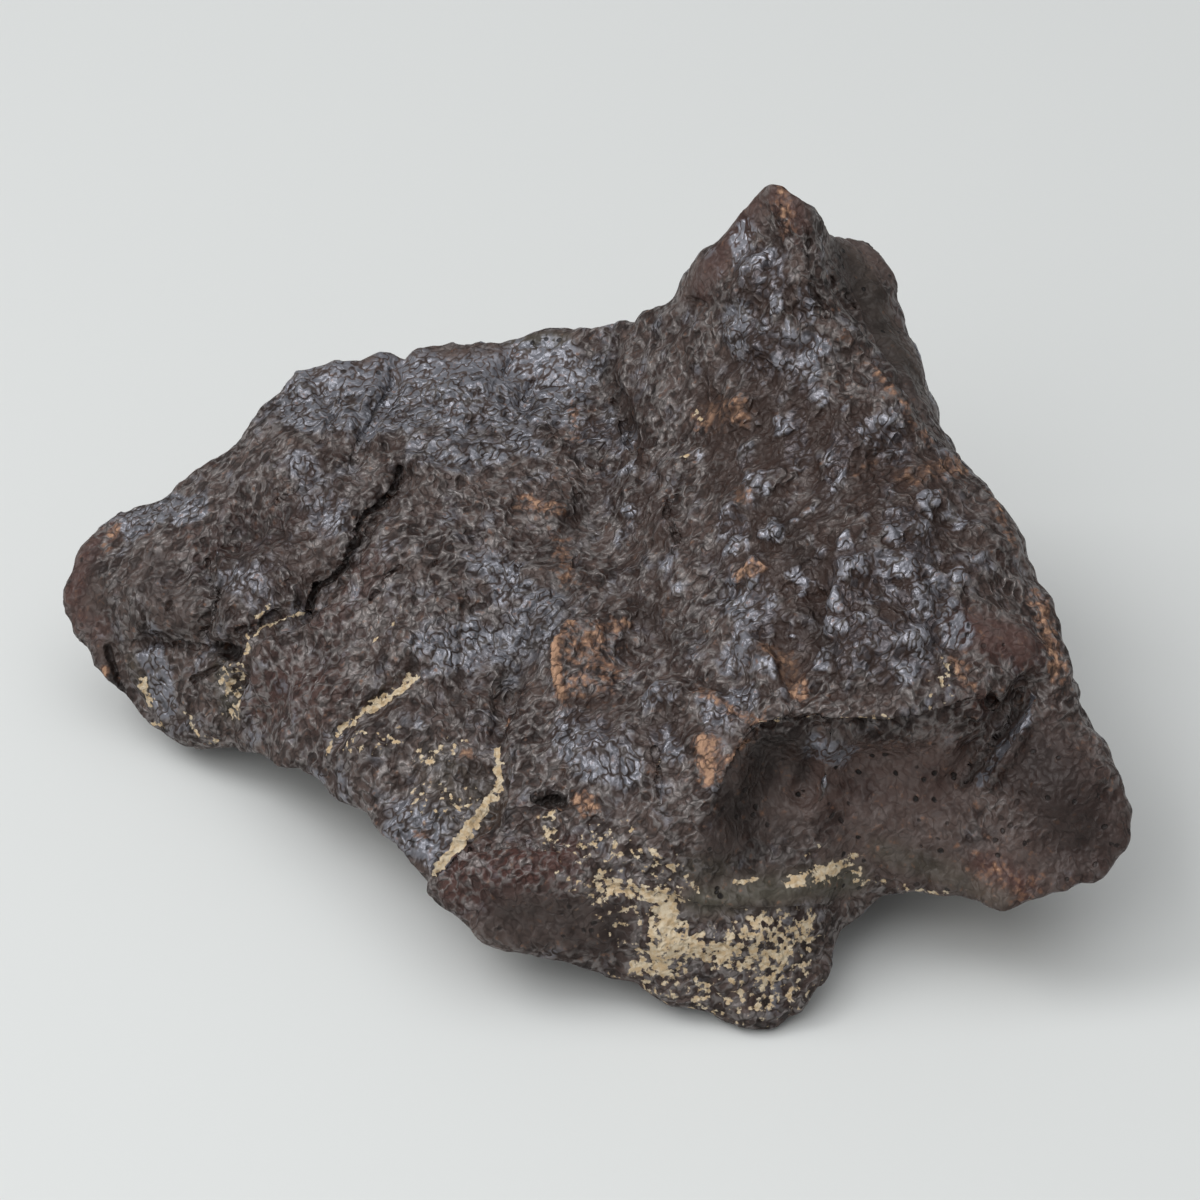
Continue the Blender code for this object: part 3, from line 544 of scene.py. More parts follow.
def right_of(pixels: Array, course: Sequence[Pixel]) -> tuple[Array, Array]:
    """On which side of a line on the photograph each pixel lies, and how far along the line.

    Args:
        pixels: The pixels, one row each.
        course: The line's points.

    Returns:
        Whether each is on the line's right, and how far along the line it is, from 0 to 1.
    """
    line = np.array(course, dtype=float)
    lengths = np.linalg.norm(np.diff(line, axis=0), axis=1)
    nearest = np.full(len(pixels), np.inf)
    right = np.zeros(len(pixels), dtype=bool)
    along = np.zeros(len(pixels))
    for number, (start, end) in enumerate(zip(line, line[1:])):
        run = end - start
        away = pixels - start
        share = np.clip(away @ run / (run @ run), 0, 1)
        distance = np.linalg.norm(away - share[:, None] * run, axis=1)
        closer = distance < nearest
        nearest[closer] = distance[closer]
        right[closer] = (run[0] * away[:, 1] - run[1] * away[:, 0] > 0)[closer]
        along[closer] = (lengths[:number].sum() + share[closer] * lengths[number]) / lengths.sum()
    return right, along


def drift(places: Array, spacing: float, seed: float) -> Array:
    """A soft random way for each place to stray, of up to about one in length."""
    return np.array([noise.noise_vector(point) for point in (places / spacing + seed).tolist()])


def mottle(places: Array, spacing: float, seed: float) -> Array:
    """Soft random patches at the places, spacing apart, from about -1 to 1."""
    return np.array([noise.fractal(point, 1.0, 2.0, 3) for point in (places / spacing + seed).tolist()])


@dataclass(frozen=True)
class Wrinkles:
    """Rounded wrinkles of crust with sharp creases between them.

    Attributes:
        spacing: How far apart the wrinkles are, in millimetres.
        along: The way in which they are drawn out.
        stretch: How many times longer than wide they are.
        seed: Sets one layer of wrinkles apart from another.
        stray: How far they stray from their way, as a share of their spacing.
        sharpness: How narrow their creases are.
    """

    spacing: float
    along: tuple[float, float, float]
    stretch: float
    seed: float
    stray: float = 0.35
    sharpness: float = 2.4

    def crowns(self, places: Array) -> Array:
        """How near to a wrinkle's crown each place is.

        Args:
            places: The places in millimetres, one row each.

        Returns:
            From 0 in a crease to 1 on a crown.
        """
        along = np.array(Vector(self.along).normalized())
        shrink = (places @ along) * (1 / self.stretch - 1)
        points = (places + shrink[:, None] * along) / self.spacing + self.seed
        points = points + drift(points, 1.4, seed=0.0) * self.stray
        waves = np.abs([noise.noise(point) for point in points.tolist()])
        return np.clip(waves * self.sharpness, 0, 1)


@dataclass(frozen=True)
class Pebbles:
    """Rounded pebbles of crust, packed side by side.

    Attributes:
        spacing: How far apart they are, in millimetres.
        stray: How far their outlines stray, in millimetres.
        seed: Sets one layer of pebbles apart from another.
    """

    spacing: float = 2.5
    stray: float = 0.7
    seed: float = 41.0

    def crowns(self, places: Array) -> tuple[Array, Array]:
        """How near to a pebble's crown each place is, and what that pebble's lot is.

        Args:
            places: The places in millimetres, one row each.

        Returns:
            From 0 in a gap to 1 on a crown, and from -1 to 1, the same all over a pebble.
        """
        points = (places + drift(places, 1.1, self.seed) * self.stray) / self.spacing
        found = [noise.voronoi(point) for point in points.tolist()]
        gaps = np.array([away[1] - away[0] for away, _ in found])
        lots = np.array([noise.noise(near[0] * self.seed) for _, near in found])
        return smooth_step(gaps / 0.5), np.clip(lots * 2.5, -1, 1)


class Skin:
    """The points of a mesh, as arrays that are read, moved and written back."""

    def __init__(self, mesh: bpy.types.Mesh) -> None:
        """Read a mesh.

        Args:
            mesh: The mesh whose points these are.
        """
        self.mesh = mesh
        self.count = len(mesh.vertices)
        self.places = self.read("co")
        self.normals = self.read("normal")

    def read(self, name: str) -> Array:
        """Read one of the points' own vectors.

        Args:
            name: Its name.

        Returns:
            One row for each point.
        """
        flat = np.empty(self.count * 3)
        self.mesh.vertices.foreach_get(name, flat)
        return flat.reshape(-1, 3)

    def tree(self) -> BVHTree:
        """The mesh's faces, to find what a line of sight meets."""
        points = self.places.tolist()
        return BVHTree.FromPolygons(points, [tuple(face.vertices) for face in self.mesh.polygons])

    def push(self, amounts: Array) -> None:
        """Move each point out along its normal.

        Args:
            amounts: How far each moves, in millimetres.
        """
        self.places = self.places + self.normals * amounts[:, None] * MM
        self.write()
        self.normals = self.read("normal")

    def write(self) -> None:
        """Write the points' places back to the mesh."""
        self.mesh.vertices.foreach_set("co", self.places.ravel())
        self.mesh.update()

    def paint(self, name: str, values: Array) -> None:
        """Keep a value for each point as an attribute of the mesh."""
        attribute = self.mesh.attributes.new(name, "FLOAT", "POINT")
        attribute.data.foreach_set("value", values.astype(np.float32))


@dataclass(frozen=True)
class Scatter:
    """How a tint is scattered over the sides that the photograph doesn't show.

    Attributes:
        spacing: How far apart its patches are, in millimetres.
        bareness: From -1 where it is everywhere to 1 where it is nowhere.
        strength: How strong it is in the middle of a patch, from 0 to 1.
    """

    spacing: float
    bareness: float
    strength: float


SCATTERS = {
    Tint.RUST: Scatter(7.0, 0.25, 0.65),
    Tint.MAROON: Scatter(12.0, 0.1, 0.8),
    Tint.LIME: Scatter(7.0, 0.38, 0.55),
    Tint.POLISH: Scatter(6.0, 0.0, 0.9),
    Tint.OLIVE: Scatter(11.0, 0.25, 0.8),
    Tint.SMOOTH: Scatter(11.0, 0.1, 0.9),
    # Painted shade, in random patches.
    Tint.SHADE: Scatter(7.0, 0.2, 0.6),
    Tint.PEBBLY: Scatter(12.0, -0.1, 1.0),
}


@dataclass
class Stone:
    """The meteorite's skin, in place of its plain solid.

    Attributes:
        sight: Where the photograph was taken from.
        node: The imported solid's name.
        grain: Between the points of the skin, in millimetres.
        soft_rounds: How many rounds of smoothing soften the solid's facets.
        crack_margin: How far from a crack the skin is made finer, in millimetres.
        crack_stray: How far the sides of a crack stray, in millimetres.
        cut_wall: How much of a cut's half width its sloping wall takes.
        ledge_lip: How high a ledge's high side swells, as a share of its drop.
        tint_stray: How far the edges of a tint stray, in millimetres.
        most_triangles: How many triangles the finished skin may have.
        pebbles: The pebbles of crust.
        pebble_height: How far the pebbles stand above their gaps, in millimetres.
        slanting: The wrinkles that run up to the right.
        upright: The wrinkles that run up.
        wrinkle_height: How far the wrinkles stand above their creases, in millimetres.
        turn_spacing: How far apart the parts are where the wrinkles run one way, in millimetres.
        lump_height: How far the soft lumps rise and sink, in millimetres.
        lump_spacing: How far apart they are, in millimetres.
    """

    sight: Sight
    node: str = "stone"
    grain: float = 0.24
    soft_rounds: int = 7
    crack_margin: float = 0.55
    crack_stray: float = 0.1
    cut_wall: float = 0.7
    ledge_lip: float = 0.35
    tint_stray: float = 0.22
    most_triangles: int = 197000
    pebbles: Pebbles = Pebbles()
    pebble_height: float = 0.34
    slanting: Wrinkles = Wrinkles(1.9, (0.72, 0.55, 0.42), 1.9, 11.7)
    upright: Wrinkles = Wrinkles(1.8, (-0.25, 0.6, 0.75), 1.7, 23.3)
    wrinkle_height: float = 0.20
    turn_spacing: float = 9.0
    lump_height: float = 0.2
    lump_spacing: float = 3.6

    def build(self) -> bpy.types.Object:
        """Make the stone's skin and dress it.

        Returns:
            The finished piece.
        """
        piece = self.copy_solid()
        self.refine(piece)
        self.shape(Skin(piece.data))
        skin = self.crack(piece)
        tints = self.tints(skin)
        self.roughen(skin, tints)
        for tint, values in tints.items():
            skin.paint(tint.value, values)
        self.thin(piece)
        self.fit(Skin(piece.data))
        piece.data.materials.clear()
        piece.data.materials.append(Crust().material())
        bpy.ops.object.shade_smooth()
        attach(piece, "root")
        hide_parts(self.node)
        return piece

    def copy_solid(self) -> bpy.types.Object:
        """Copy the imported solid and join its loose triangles.

        Returns:
            The copy, selected alone.
        """
        solid = bpy.data.objects[self.node]
        piece = bpy.data.objects.new("stone_skin", solid.data.copy())
        bpy.context.scene.collection.objects.link(piece)
        bpy.ops.object.select_all(action="DESELECT")
        piece.select_set(True)
        bpy.context.view_layer.objects.active = piece
        bpy.ops.object.mode_set(mode="EDIT")
        bpy.ops.mesh.select_all(action="SELECT")
        bpy.ops.mesh.remove_doubles(threshold=0.001 * MM)
        bpy.ops.mesh.normals_make_consistent(inside=False)
        bpy.ops.object.mode_set(mode="OBJECT")
        return piece

    def refine(self, piece: bpy.types.Object) -> None:
        """Cover the solid with fine, even faces and soften its facets.

        Args:
            piece: The copy of the solid, active and selected.
        """
        finer = piece.modifiers.new("finer", "REMESH")
        finer.mode = "VOXEL"
        finer.voxel_size = self.grain * MM
        bpy.ops.object.modifier_apply(modifier=finer.name)
        softer = piece.modifiers.new("softer", "SMOOTH")
        softer.iterations = self.soft_rounds
        bpy.ops.object.modifier_apply(modifier=softer.name)

    def shape(self, skin: Skin) -> None:
        """Swell the soft forms and break the ledges.

        Args:
            skin: The stone's points.
        """
        tree = skin.tree()
        amounts = mottle(skin.places / MM, self.lump_spacing, seed=7.0) * self.lump_height
        for name, form in FORMS.items():
            reach = form.reach * MM
            away = from_course(skin.places, self.sight.on_stone(name, form.course, tree), reach)
            amounts += form.amount * smooth_step(1 - away / reach)
        pixels = self.sight.on_frame(skin.places)
        for name, ledge in LEDGES.items():
            reach = ledge.reach * MM
            away = from_course(skin.places, self.sight.on_stone(name, ledge.course, tree), reach)
            near = np.flatnonzero(away < reach)
            right, along = right_of(pixels[near], ledge.course)
            share = 1 - away[near] / reach
            fade = smooth_step(np.minimum(along, 1 - along) * 6)
            low = -ledge.amount * share * share
            high = ledge.amount * self.ledge_lip * smooth_step(share * 1.6 - 0.6)
            amounts[near] += np.where(right, low, high) * fade
        skin.push(amounts)
        LOG.info("shaped %d forms and %d ledges", len(FORMS), len(LEDGES))

    def crack(self, piece: bpy.types.Object) -> Skin:
        """Make the skin finer where the cracks and pits go, and cut them.

        Args:
            piece: The stone, active and selected.

        Returns:
            The points of the cracked skin.
        """
        tree = Skin(piece.data).tree()
        courses = {name: self.sight.on_stone(name, cut.course, tree) for name, cut in CUTS.items()}
        margin = self.crack_margin * MM
        centres = np.empty(len(piece.data.polygons) * 3)
        piece.data.polygons.foreach_get("center", centres)
        centres = centres.reshape(-1, 3)
        near = np.zeros(len(centres), dtype=bool)
        for name, course in courses.items():
            near |= from_course(centres, course, margin) < margin + CUTS[name].reach * MM / 2
        bpy.ops.object.mode_set(mode="EDIT")
        bpy.ops.mesh.select_mode(type="FACE")
        bpy.ops.mesh.select_all(action="DESELECT")
        bpy.ops.object.mode_set(mode="OBJECT")
        piece.data.polygons.foreach_set("select", near)
        bpy.ops.object.mode_set(mode="EDIT")
        bpy.ops.mesh.subdivide(number_cuts=1)
        bpy.ops.object.mode_set(mode="OBJECT")
        skin = Skin(piece.data)
        places = skin.places / MM
        strayed = (places + drift(places, 0.6, seed=3.0) * self.crack_stray) * MM
        amounts = np.zeros(skin.count)
        for name, cut in CUTS.items():
            width = cut.reach * MM
            away = from_course(strayed, courses[name], width) / width
            amounts = np.minimum(amounts, -np.clip((1 - away) / self.cut_wall, 0, 1) * cut.amount)
        skin.push(amounts)
        LOG.info("cut %d cracks and pits into %d points", len(CUTS), skin.count)
        return skin

    def tints(self, skin: Skin) -> dict[Tint, Array]:
        """Work out how much of each tint lies on each point of the skin.

        Args:
            skin: The stone's points.

        Returns:
            For each tint, a value from 0 to 1 for each point.
        """
        tree = skin.tree()
        places = skin.places / MM
        strayed = (places + drift(places, 1.3, seed=9.0) * self.tint_stray) * MM
        shown = smooth_step((skin.normals @ np.array(self.sight.back) + 0.05) / 0.3)
        tints = {}
        for number, (tint, table) in enumerate(MARKS.items()):
            values = np.zeros(skin.count)
            for name, mark in table.items():
                reach = mark.reach * MM
                course = self.sight.on_stone(name, mark.course, tree)
                near = smooth_step(1.15 - from_course(strayed, course, reach * 1.2) / reach)
                values = np.maximum(values, near * mark.amount)
            scatter = SCATTERS[tint]
            patches = mottle(places, scatter.spacing, seed=31.0 + 17.3 * number) - scatter.bareness
            hidden = smooth_step(patches / 0.3) * scatter.strength
            tints[tint] = values * np.maximum(shown, 0.3) + hidden * (1 - shown)
        return tints

    def roughen(self, skin: Skin, tints: dict[Tint, Array]) -> None:
        """Raise the pebbles and wrinkles of the crust, polish some pebbles and keep the relief.

        Args:
            skin: The stone's points.
            tints: For each tint, a value for each point. The polish is added to.
        """
        places = skin.places / MM
        crowns, lots = self.pebbles.crowns(places)
        turn = smooth_step((mottle(places, self.turn_spacing, seed=71.0) + 0.25) / 0.5)
        wrinkles = self.slanting.crowns(places) * turn + self.upright.crowns(places) * (1 - turn)
        rough = 1 - 0.85 * tints[Tint.SMOOTH]
        pebbly = (0.15 + 0.85 * tints[Tint.PEBBLY]) * rough
        heights = (crowns - 1 + 0.5 * lots * crowns) * self.pebble_height * pebbly
        heights += (wrinkles - 1) * self.wrinkle_height * rough
        skin.push(heights)
        # Polish on some pebble crowns, painted lighter on the pebbly parts as painted light.
        shine = smooth_step(lots * 2 + 0.55) * crowns * tints[Tint.PEBBLY] * 0.95
        tints[Tint.POLISH] = np.maximum(tints[Tint.POLISH], shine)
        skin.paint(RELIEF, np.clip(1 + heights / (self.pebble_height + self.wrinkle_height), 0, 1))

    def fit(self, skin: Skin) -> None:
        """Bring the skin to the size of the solid that it stands for.

        Args:
            skin: The stone's points.
        """
        low, high = (np.array(corner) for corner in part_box(self.node))
        least = skin.places.min(axis=0)
        scale = (high - low) / (skin.places.max(axis=0) - least)
        skin.places = low + (skin.places - least) * scale
        skin.write()
        LOG.info("the skin was scaled by %s to fit its solid", np.round(scale, 4).tolist())

    def thin(self, piece: bpy.types.Object) -> None:
        """Take away the triangles that the skin can spare.

        Args:
            piece: The stone, active and selected.
        """
        piece.data.calc_loop_triangles()
        triangles = len(piece.data.loop_triangles)
        thinner = piece.modifiers.new("thinner", "DECIMATE")
        thinner.ratio = min(1.0, self.most_triangles / triangles)
        bpy.ops.object.modifier_apply(modifier=thinner.name)
        piece.data.calc_loop_triangles()
        LOG.info("stone skin: %d triangles, thinned to %d", triangles, len(piece.data.loop_triangles))


class Sheet:
    """A node tree, laid out node by node."""

    def __init__(self, tree: bpy.types.NodeTree) -> None:
        """Work on a node tree."""
        self.tree = tree

    def node(self, kind: str, inputs: dict | None = None, **settings: object) -> bpy.types.Node:
        """Add a node.

        Args:
            kind: The node's type.
            inputs: For each of its sockets, a value or the socket that feeds it.
            settings: The node's own settings.

        Returns:
            The node.
        """
        made = self.tree.nodes.new(kind)
        for name, value in settings.items():
            setattr(made, name, value)
        for socket, value in (inputs or {}).items():
            if isinstance(value, bpy.types.NodeSocket):
                self.tree.links.new(value, made.inputs[socket])
            else:
                made.inputs[socket].default_value = value
        return made

    def math(self, operation: str, *values: object, clamp: bool = False) -> object:
        """Add a Math node for values or the sockets that feed it, and return its result's socket."""
        settings = {"operation": operation, "use_clamp": clamp}
        return self.node("ShaderNodeMath", dict(enumerate(values)), **settings).outputs[0]

    def blend(self, share: object, first: object, second: object) -> object:
        """Blend two colours. The share is how much of the second shows, from 0 to 1."""
        inputs = {0: share, 6: first, 7: second}
        return self.node("ShaderNodeMix", inputs, data_type="RGBA").outputs[2]

    def ramp(self, value: object, low: float, high: float, least: float = 0.0, most: float = 1.0) -> object:
        """Ease a value that goes from low to high into one that goes from least to most."""
        inputs = {0: value, 1: low, 2: high, 3: least, 4: most}
        return self.node("ShaderNodeMapRange", inputs, interpolation_type="SMOOTHSTEP").outputs[0]

    def noise(self, place: object, scale: float, detail: float = 0.0, output: int = 0) -> object:
        """Add noise with so many waves in a millimetre. Its output is 0 for a value, 1 for a colour."""
        inputs = {"Vector": place, "Scale": scale, "Detail": detail}
        return self.node("ShaderNodeTexNoise", inputs).outputs[output]

    def attribute(self, name: str) -> object:
        """Read one of the mesh's own attributes by its name."""
        return self.node("ShaderNodeAttribute", attribute_name=name).outputs["Fac"]


def wrinkle_group() -> bpy.types.NodeTree:
    """Make the node group that wrinkles a surface: wrinkles drawn out one way, with creases between.

    Returns:
        The group. Its result is from 0 in a crease to 1 on a crown.
    """
    group = bpy.data.node_groups.new("wrinkles", "ShaderNodeTree")
    group.interface.new_socket("Place", in_out="INPUT", socket_type="NodeSocketVector")
    group.interface.new_socket("Turn", in_out="INPUT", socket_type="NodeSocketVector")
    group.interface.new_socket("Stretch", in_out="INPUT", socket_type="NodeSocketVector")
    group.interface.new_socket("Scale", in_out="INPUT", socket_type="NodeSocketFloat")
    group.interface.new_socket("Sharpness", in_out="INPUT", socket_type="NodeSocketFloat")
    group.interface.new_socket("Crowns", in_out="OUTPUT", socket_type="NodeSocketFloat")
    sheet = Sheet(group)
    given = sheet.node("NodeGroupInput").outputs
    inputs = {"Vector": given["Place"], "Rotation": given["Turn"], "Scale": given["Stretch"]}
    turned = sheet.node("ShaderNodeMapping", inputs, vector_type="TEXTURE").outputs[0]
    waves = sheet.node("ShaderNodeTexNoise", {"Vector": turned, "Scale": given["Scale"], "Detail": 1.5})
    swing = sheet.math("ABSOLUTE", sheet.math("SUBTRACT", waves.outputs[0], 0.5))
    crowns = sheet.math("MULTIPLY", swing, given["Sharpness"], clamp=True)
    sheet.node("NodeGroupOutput", {"Crowns": crowns})
    return group


@dataclass(frozen=True)
class Crust:
    """The stone's crust: its colours and how it is wrinkled.

    Attributes:
        brown: The darker crust.
        grey_brown: The lighter crust.
        crease: The painted shade of creases, pinholes and shaded faces.
        gap: The painted shade in the low places between its pebbles and wrinkles.
        polish: The bluish polish on high places, glossy, its pale bluish colour partly a painted
            reflection.
        lit_polish: A lighter polish for the pebbly parts, painted light where the lamps leave them dark.
        maroon: The reddish crust.
        olive: The greenish crust.
        wear_and_highlight: The ridges that wear has made shiny, with a painted highlight on them.
        rust: The bright rust.
        dark_rust: The stain around it.
        lime: The pale deposit.
        pale_lime: Its palest parts.
        ways: The two ways in which the wrinkles run, up to the right and up.
        stretch: How many times longer than wide the wrinkles are.
        fine: The fine wrinkles: how many there are in a millimetre and how sharp their creases are.
        broad: The same for the broad wrinkles.
        ridge: The same for the sharp ridges.
        fine_height: How far the fine wrinkles stand above their creases, in millimetres.
        broad_height: The same for the broad ones.
        ridge_height: How far the sharp ridges stand out, in millimetres.
        grain_height: The same for the grain on them.
        pinhole_scale: How many pinholes there may be along a millimetre.
        pinhole_depth: How deep they are, in millimetres.
        refraction: The index of refraction of the crust's own gloss.
    """

    brown: Colour = (0.034, 0.018, 0.014, 1)
    grey_brown: Colour = (0.088, 0.059, 0.050, 1)
    crease: Colour = (0.007, 0.004, 0.003, 1)
    gap: Colour = (0.034, 0.017, 0.012, 1)
    polish: Colour = (0.235, 0.235, 0.262, 1)
    lit_polish: Colour = (0.325, 0.320, 0.355, 1)
    maroon: Colour = (0.078, 0.028, 0.021, 1)
    olive: Colour = (0.072, 0.066, 0.046, 1)
    wear_and_highlight: Colour = (0.230, 0.205, 0.195, 1)
    rust: Colour = (0.480, 0.280, 0.175, 1)
    dark_rust: Colour = (0.210, 0.105, 0.062, 1)
    lime: Colour = (0.520, 0.375, 0.220, 1)
    pale_lime: Colour = (0.640, 0.530, 0.380, 1)
    ways: tuple[tuple[float, float, float], ...] = ((0.72, 0.55, 0.42), (-0.25, 0.6, 0.75))
    stretch: float = 1.3
    fine: tuple[float, float] = (1.25, 7.0)
    broad: tuple[float, float] = (0.55, 5.0)
    ridge: tuple[float, float] = (1.0, 6.0)
    fine_height: float = 0.06
    broad_height: float = 0.12
    ridge_height: float = 0.17
    grain_height: float = 0.07
    pinhole_scale: float = 0.8
    pinhole_depth: float = 0.14
    refraction: float = 1.40

    def material(self) -> bpy.types.Material:
        """Make the crust's material.

        Returns:
            The material.
        """
        material = bpy.data.materials.new("weathered_crust")
        material.use_nodes = True
        shader = material.node_tree.nodes["Principled BSDF"]
        sheet = CrustSheet(material.node_tree, self)
        bump = sheet.node("ShaderNodeBump", {"Height": sheet.height(), "Distance": MM, "Strength": 1.0})
        sheet.tree.links.new(sheet.colour(), shader.inputs["Base Color"])
        sheet.tree.links.new(sheet.roughness(), shader.inputs["Roughness"])
        sheet.tree.links.new(sheet.shiny, shader.inputs["Metallic"])
        sheet.tree.links.new(bump.outputs[0], shader.inputs["Normal"])
        shader.inputs["IOR"].default_value = self.refraction
        return material


class CrustSheet(Sheet):
    """The nodes of the crust's material, as sockets that the later ones read.

    Attributes:
        crust: The crust's colours and sizes.
        place: The place on the stone, in millimetres.
        marks: For each tint, how much of it there is.
        spot: The place after a little straying.
        fine: From 0 in a crease between the fine wrinkles to 1 on a crown.
        broad: The same for the broad wrinkles.
        ridges: From 0 between the sharp ridges to 1 on one.
        calm: How much of the relief is left where the crust is smooth, from 0 to 1.
        pinholes: From 0 between the pinholes of the smooth crust to 1 in one. They hold painted shade.
        rust: How far rust covers the crust. It is a stain below 1 and bright above it.
        lime: How far lime covers the crust, from 0 to 1.
        glaze: Where the crust has its bluish polish, partly a painted reflection, from 0 to 1.
        sheen: Where the sharp ridges are shiny from wear and carry a painted highlight, from 0 to 1.
        shiny: Where the crust is shiny, from 0 to a half.
    """

    def __init__(self, tree: bpy.types.NodeTree, crust: Crust) -> None:
        """Lay out the nodes that the colour, the roughness and the height share.

        Args:
            tree: The material's node tree.
            crust: The crust's colours and sizes.
        """
        super().__init__(tree)
        self.crust = crust
        metres = self.node("ShaderNodeTexCoord").outputs["Object"]
        scaled = {0: metres, "Scale": 1 / MM}
        self.place = self.node("ShaderNodeVectorMath", scaled, operation="SCALE").outputs[0]
        self.marks = {tint: self.attribute(tint.value) for tint in Tint}
        self.spot = self.stray()
        group = wrinkle_group()
        self.fine = self.layer(group, *crust.fine)
        self.broad = self.layer(group, *crust.broad)
        self.ridges = self.math("SUBTRACT", 1.0, self.layer(group, *crust.ridge))
        self.calm = self.math("MULTIPLY_ADD", self.marks[Tint.SMOOTH], -0.6, 1.0)
        cells = self.node("ShaderNodeTexVoronoi", {"Vector": self.spot, "Scale": crust.pinhole_scale})
        dots = self.ramp(cells.outputs[0], 0.10, 0.20, 1.0, 0.0)
        self.pinholes = self.math("MULTIPLY", dots, self.marks[Tint.SMOOTH])
        self.rust, self.lime = self.deposits()
        self.glaze = self.polished()
        self.sheen = self.wear_and_highlight()
        cover = self.ramp(self.math("MAXIMUM", self.rust, self.lime), 0.66, 0.9, 0.5, 0.0)
        self.shiny = self.math("MULTIPLY", self.math("MAXIMUM", self.glaze, self.sheen), cover)

    def stray(self) -> object:
        """Shift the place a little this way and that.

        Returns:
            The socket of the shifted place.
        """
        centred = {0: self.noise(self.place, 1.0, 1.0, output=1), 1: (0.5, 0.5, 0.5)}
        shift = self.node("ShaderNodeVectorMath", centred, operation="SUBTRACT").outputs[0]
        shifted = {0: shift, 1: (0.5, 0.5, 0.5), 2: self.place}
        return self.node("ShaderNodeVectorMath", shifted, operation="MULTIPLY_ADD").outputs[0]

    def layer(self, group: bpy.types.NodeTree, scale: float, sharpness: float) -> object:
        """Lay out wrinkles that run two ways, each way in parts of its own.

        Args:
            group: The node group of wrinkles.
            scale: How many waves there are in a millimetre.
            sharpness: How narrow the creases are.

        Returns:
            The socket of a value from 0 in a crease to 1 on a crown.
        """
        fields = []
        for way in self.crust.ways:
            node = self.node("ShaderNodeGroup", node_tree=group)
            self.tree.links.new(self.spot, node.inputs["Place"])
            node.inputs["Turn"].default_value = Vector(way).to_track_quat("X", "Z").to_euler()
            node.inputs["Stretch"].default_value = (self.crust.stretch, 1.0, 1.0)
            node.inputs["Scale"].default_value = scale
            node.inputs["Sharpness"].default_value = sharpness
            fields.append(node.outputs[0])
        side = self.ramp(self.noise(self.spot, 0.16, 1.0), 0.44, 0.56)
        inputs = {0: side, 2: fields[0], 3: fields[1]}
        return self.node("ShaderNodeMix", inputs, data_type="FLOAT").outputs[0]

    def height(self) -> object:
        """Add up the fine relief that the mesh is too coarse for.

        Returns:
            The socket of the height, in millimetres.
        """
        height = self.math("MULTIPLY", self.noise(self.place, 3.2, 1.0), self.crust.grain_height)
        height = self.math("MULTIPLY_ADD", self.fine, self.crust.fine_height, height)
        height = self.math("MULTIPLY_ADD", self.broad, self.crust.broad_height, height)
        height = self.math("MULTIPLY_ADD", self.ridges, self.crust.ridge_height, height)
        height = self.math("MULTIPLY", height, self.calm)
        return self.math("MULTIPLY_ADD", self.pinholes, -self.crust.pinhole_depth, height)

    def polished(self) -> object:
        """Lay the bluish polish on in patches with ragged edges, its colour partly a painted reflection.

        Returns:
            The socket of a value from 0 to 1.
        """
        bare = self.math("MULTIPLY_ADD", self.marks[Tint.SMOOTH], -0.2, 0.2)
        least = self.math("MAXIMUM", self.marks[Tint.POLISH], bare)
        patches = self.math("MULTIPLY", self.noise(self.place, 0.5, 4.0), 1.2)
        patches = self.math("MULTIPLY_ADD", least, 0.9, patches)
        raised = self.ramp(self.fine, 0.1, 0.6)
        return self.math("MULTIPLY", self.ramp(patches, 0.80, 1.10), raised)

    def wear_and_highlight(self) -> object:
        """Wear the sharp ridges in broken strokes, which carry a painted highlight.

        Returns:
            The socket of a value from 0 to 1.
        """
        strokes = self.math("MULTIPLY_ADD", self.noise(self.place, 1.3, 3.0), 1.8, self.ridges)
        bare = self.ramp(self.marks[Tint.SMOOTH], 0.1, 0.7, 0.75, 0.15)
        return self.math("MULTIPLY", self.ramp(strokes, 1.3, 1.9), bare)

    def deposits(self) -> tuple[object, object]:
        """Spread rust and lime over the crust, with ragged edges.

        Returns:
            The sockets of the rust and of the lime.
        """
        ragged = self.noise(self.place, 2.0, 4.0)
        rust = self.math("MULTIPLY_ADD", self.marks[Tint.RUST], 0.45, ragged)
        rust = self.math("MULTIPLY_ADD", self.fine, 0.12, rust)
        lime = self.math("MULTIPLY_ADD", self.marks[Tint.LIME], 0.40, ragged)
        lime = self.math("MULTIPLY_ADD", self.broad, -0.12, lime)
        marked = self.ramp(self.marks[Tint.LIME], 0.02, 0.2)
        return rust, self.math("MULTIPLY", self.ramp(lime, 0.65, 0.73), marked)

    def colour(self) -> object:
        """Colour the crust, its painted highlights, its polish and stains, then its painted shade and the
        lime on it.

        Returns:
            The socket of the colour.
        """
        crust = self.crust
        mixed = self.math("MULTIPLY_ADD", self.marks[Tint.SMOOTH], 0.1, self.noise(self.place, 0.4, 4.0))
        tone = self.blend(self.ramp(mixed, 0.40, 0.60), crust.brown, crust.grey_brown)
        tone = self.blend(self.math("MULTIPLY", self.marks[Tint.MAROON], 0.85), tone, crust.maroon)
        tone = self.blend(self.math("MULTIPLY", self.marks[Tint.OLIVE], 0.75), tone, crust.olive)
        # Painted highlight on the ridges that wear has made shiny.
        tone = self.blend(self.sheen, tone, crust.wear_and_highlight)
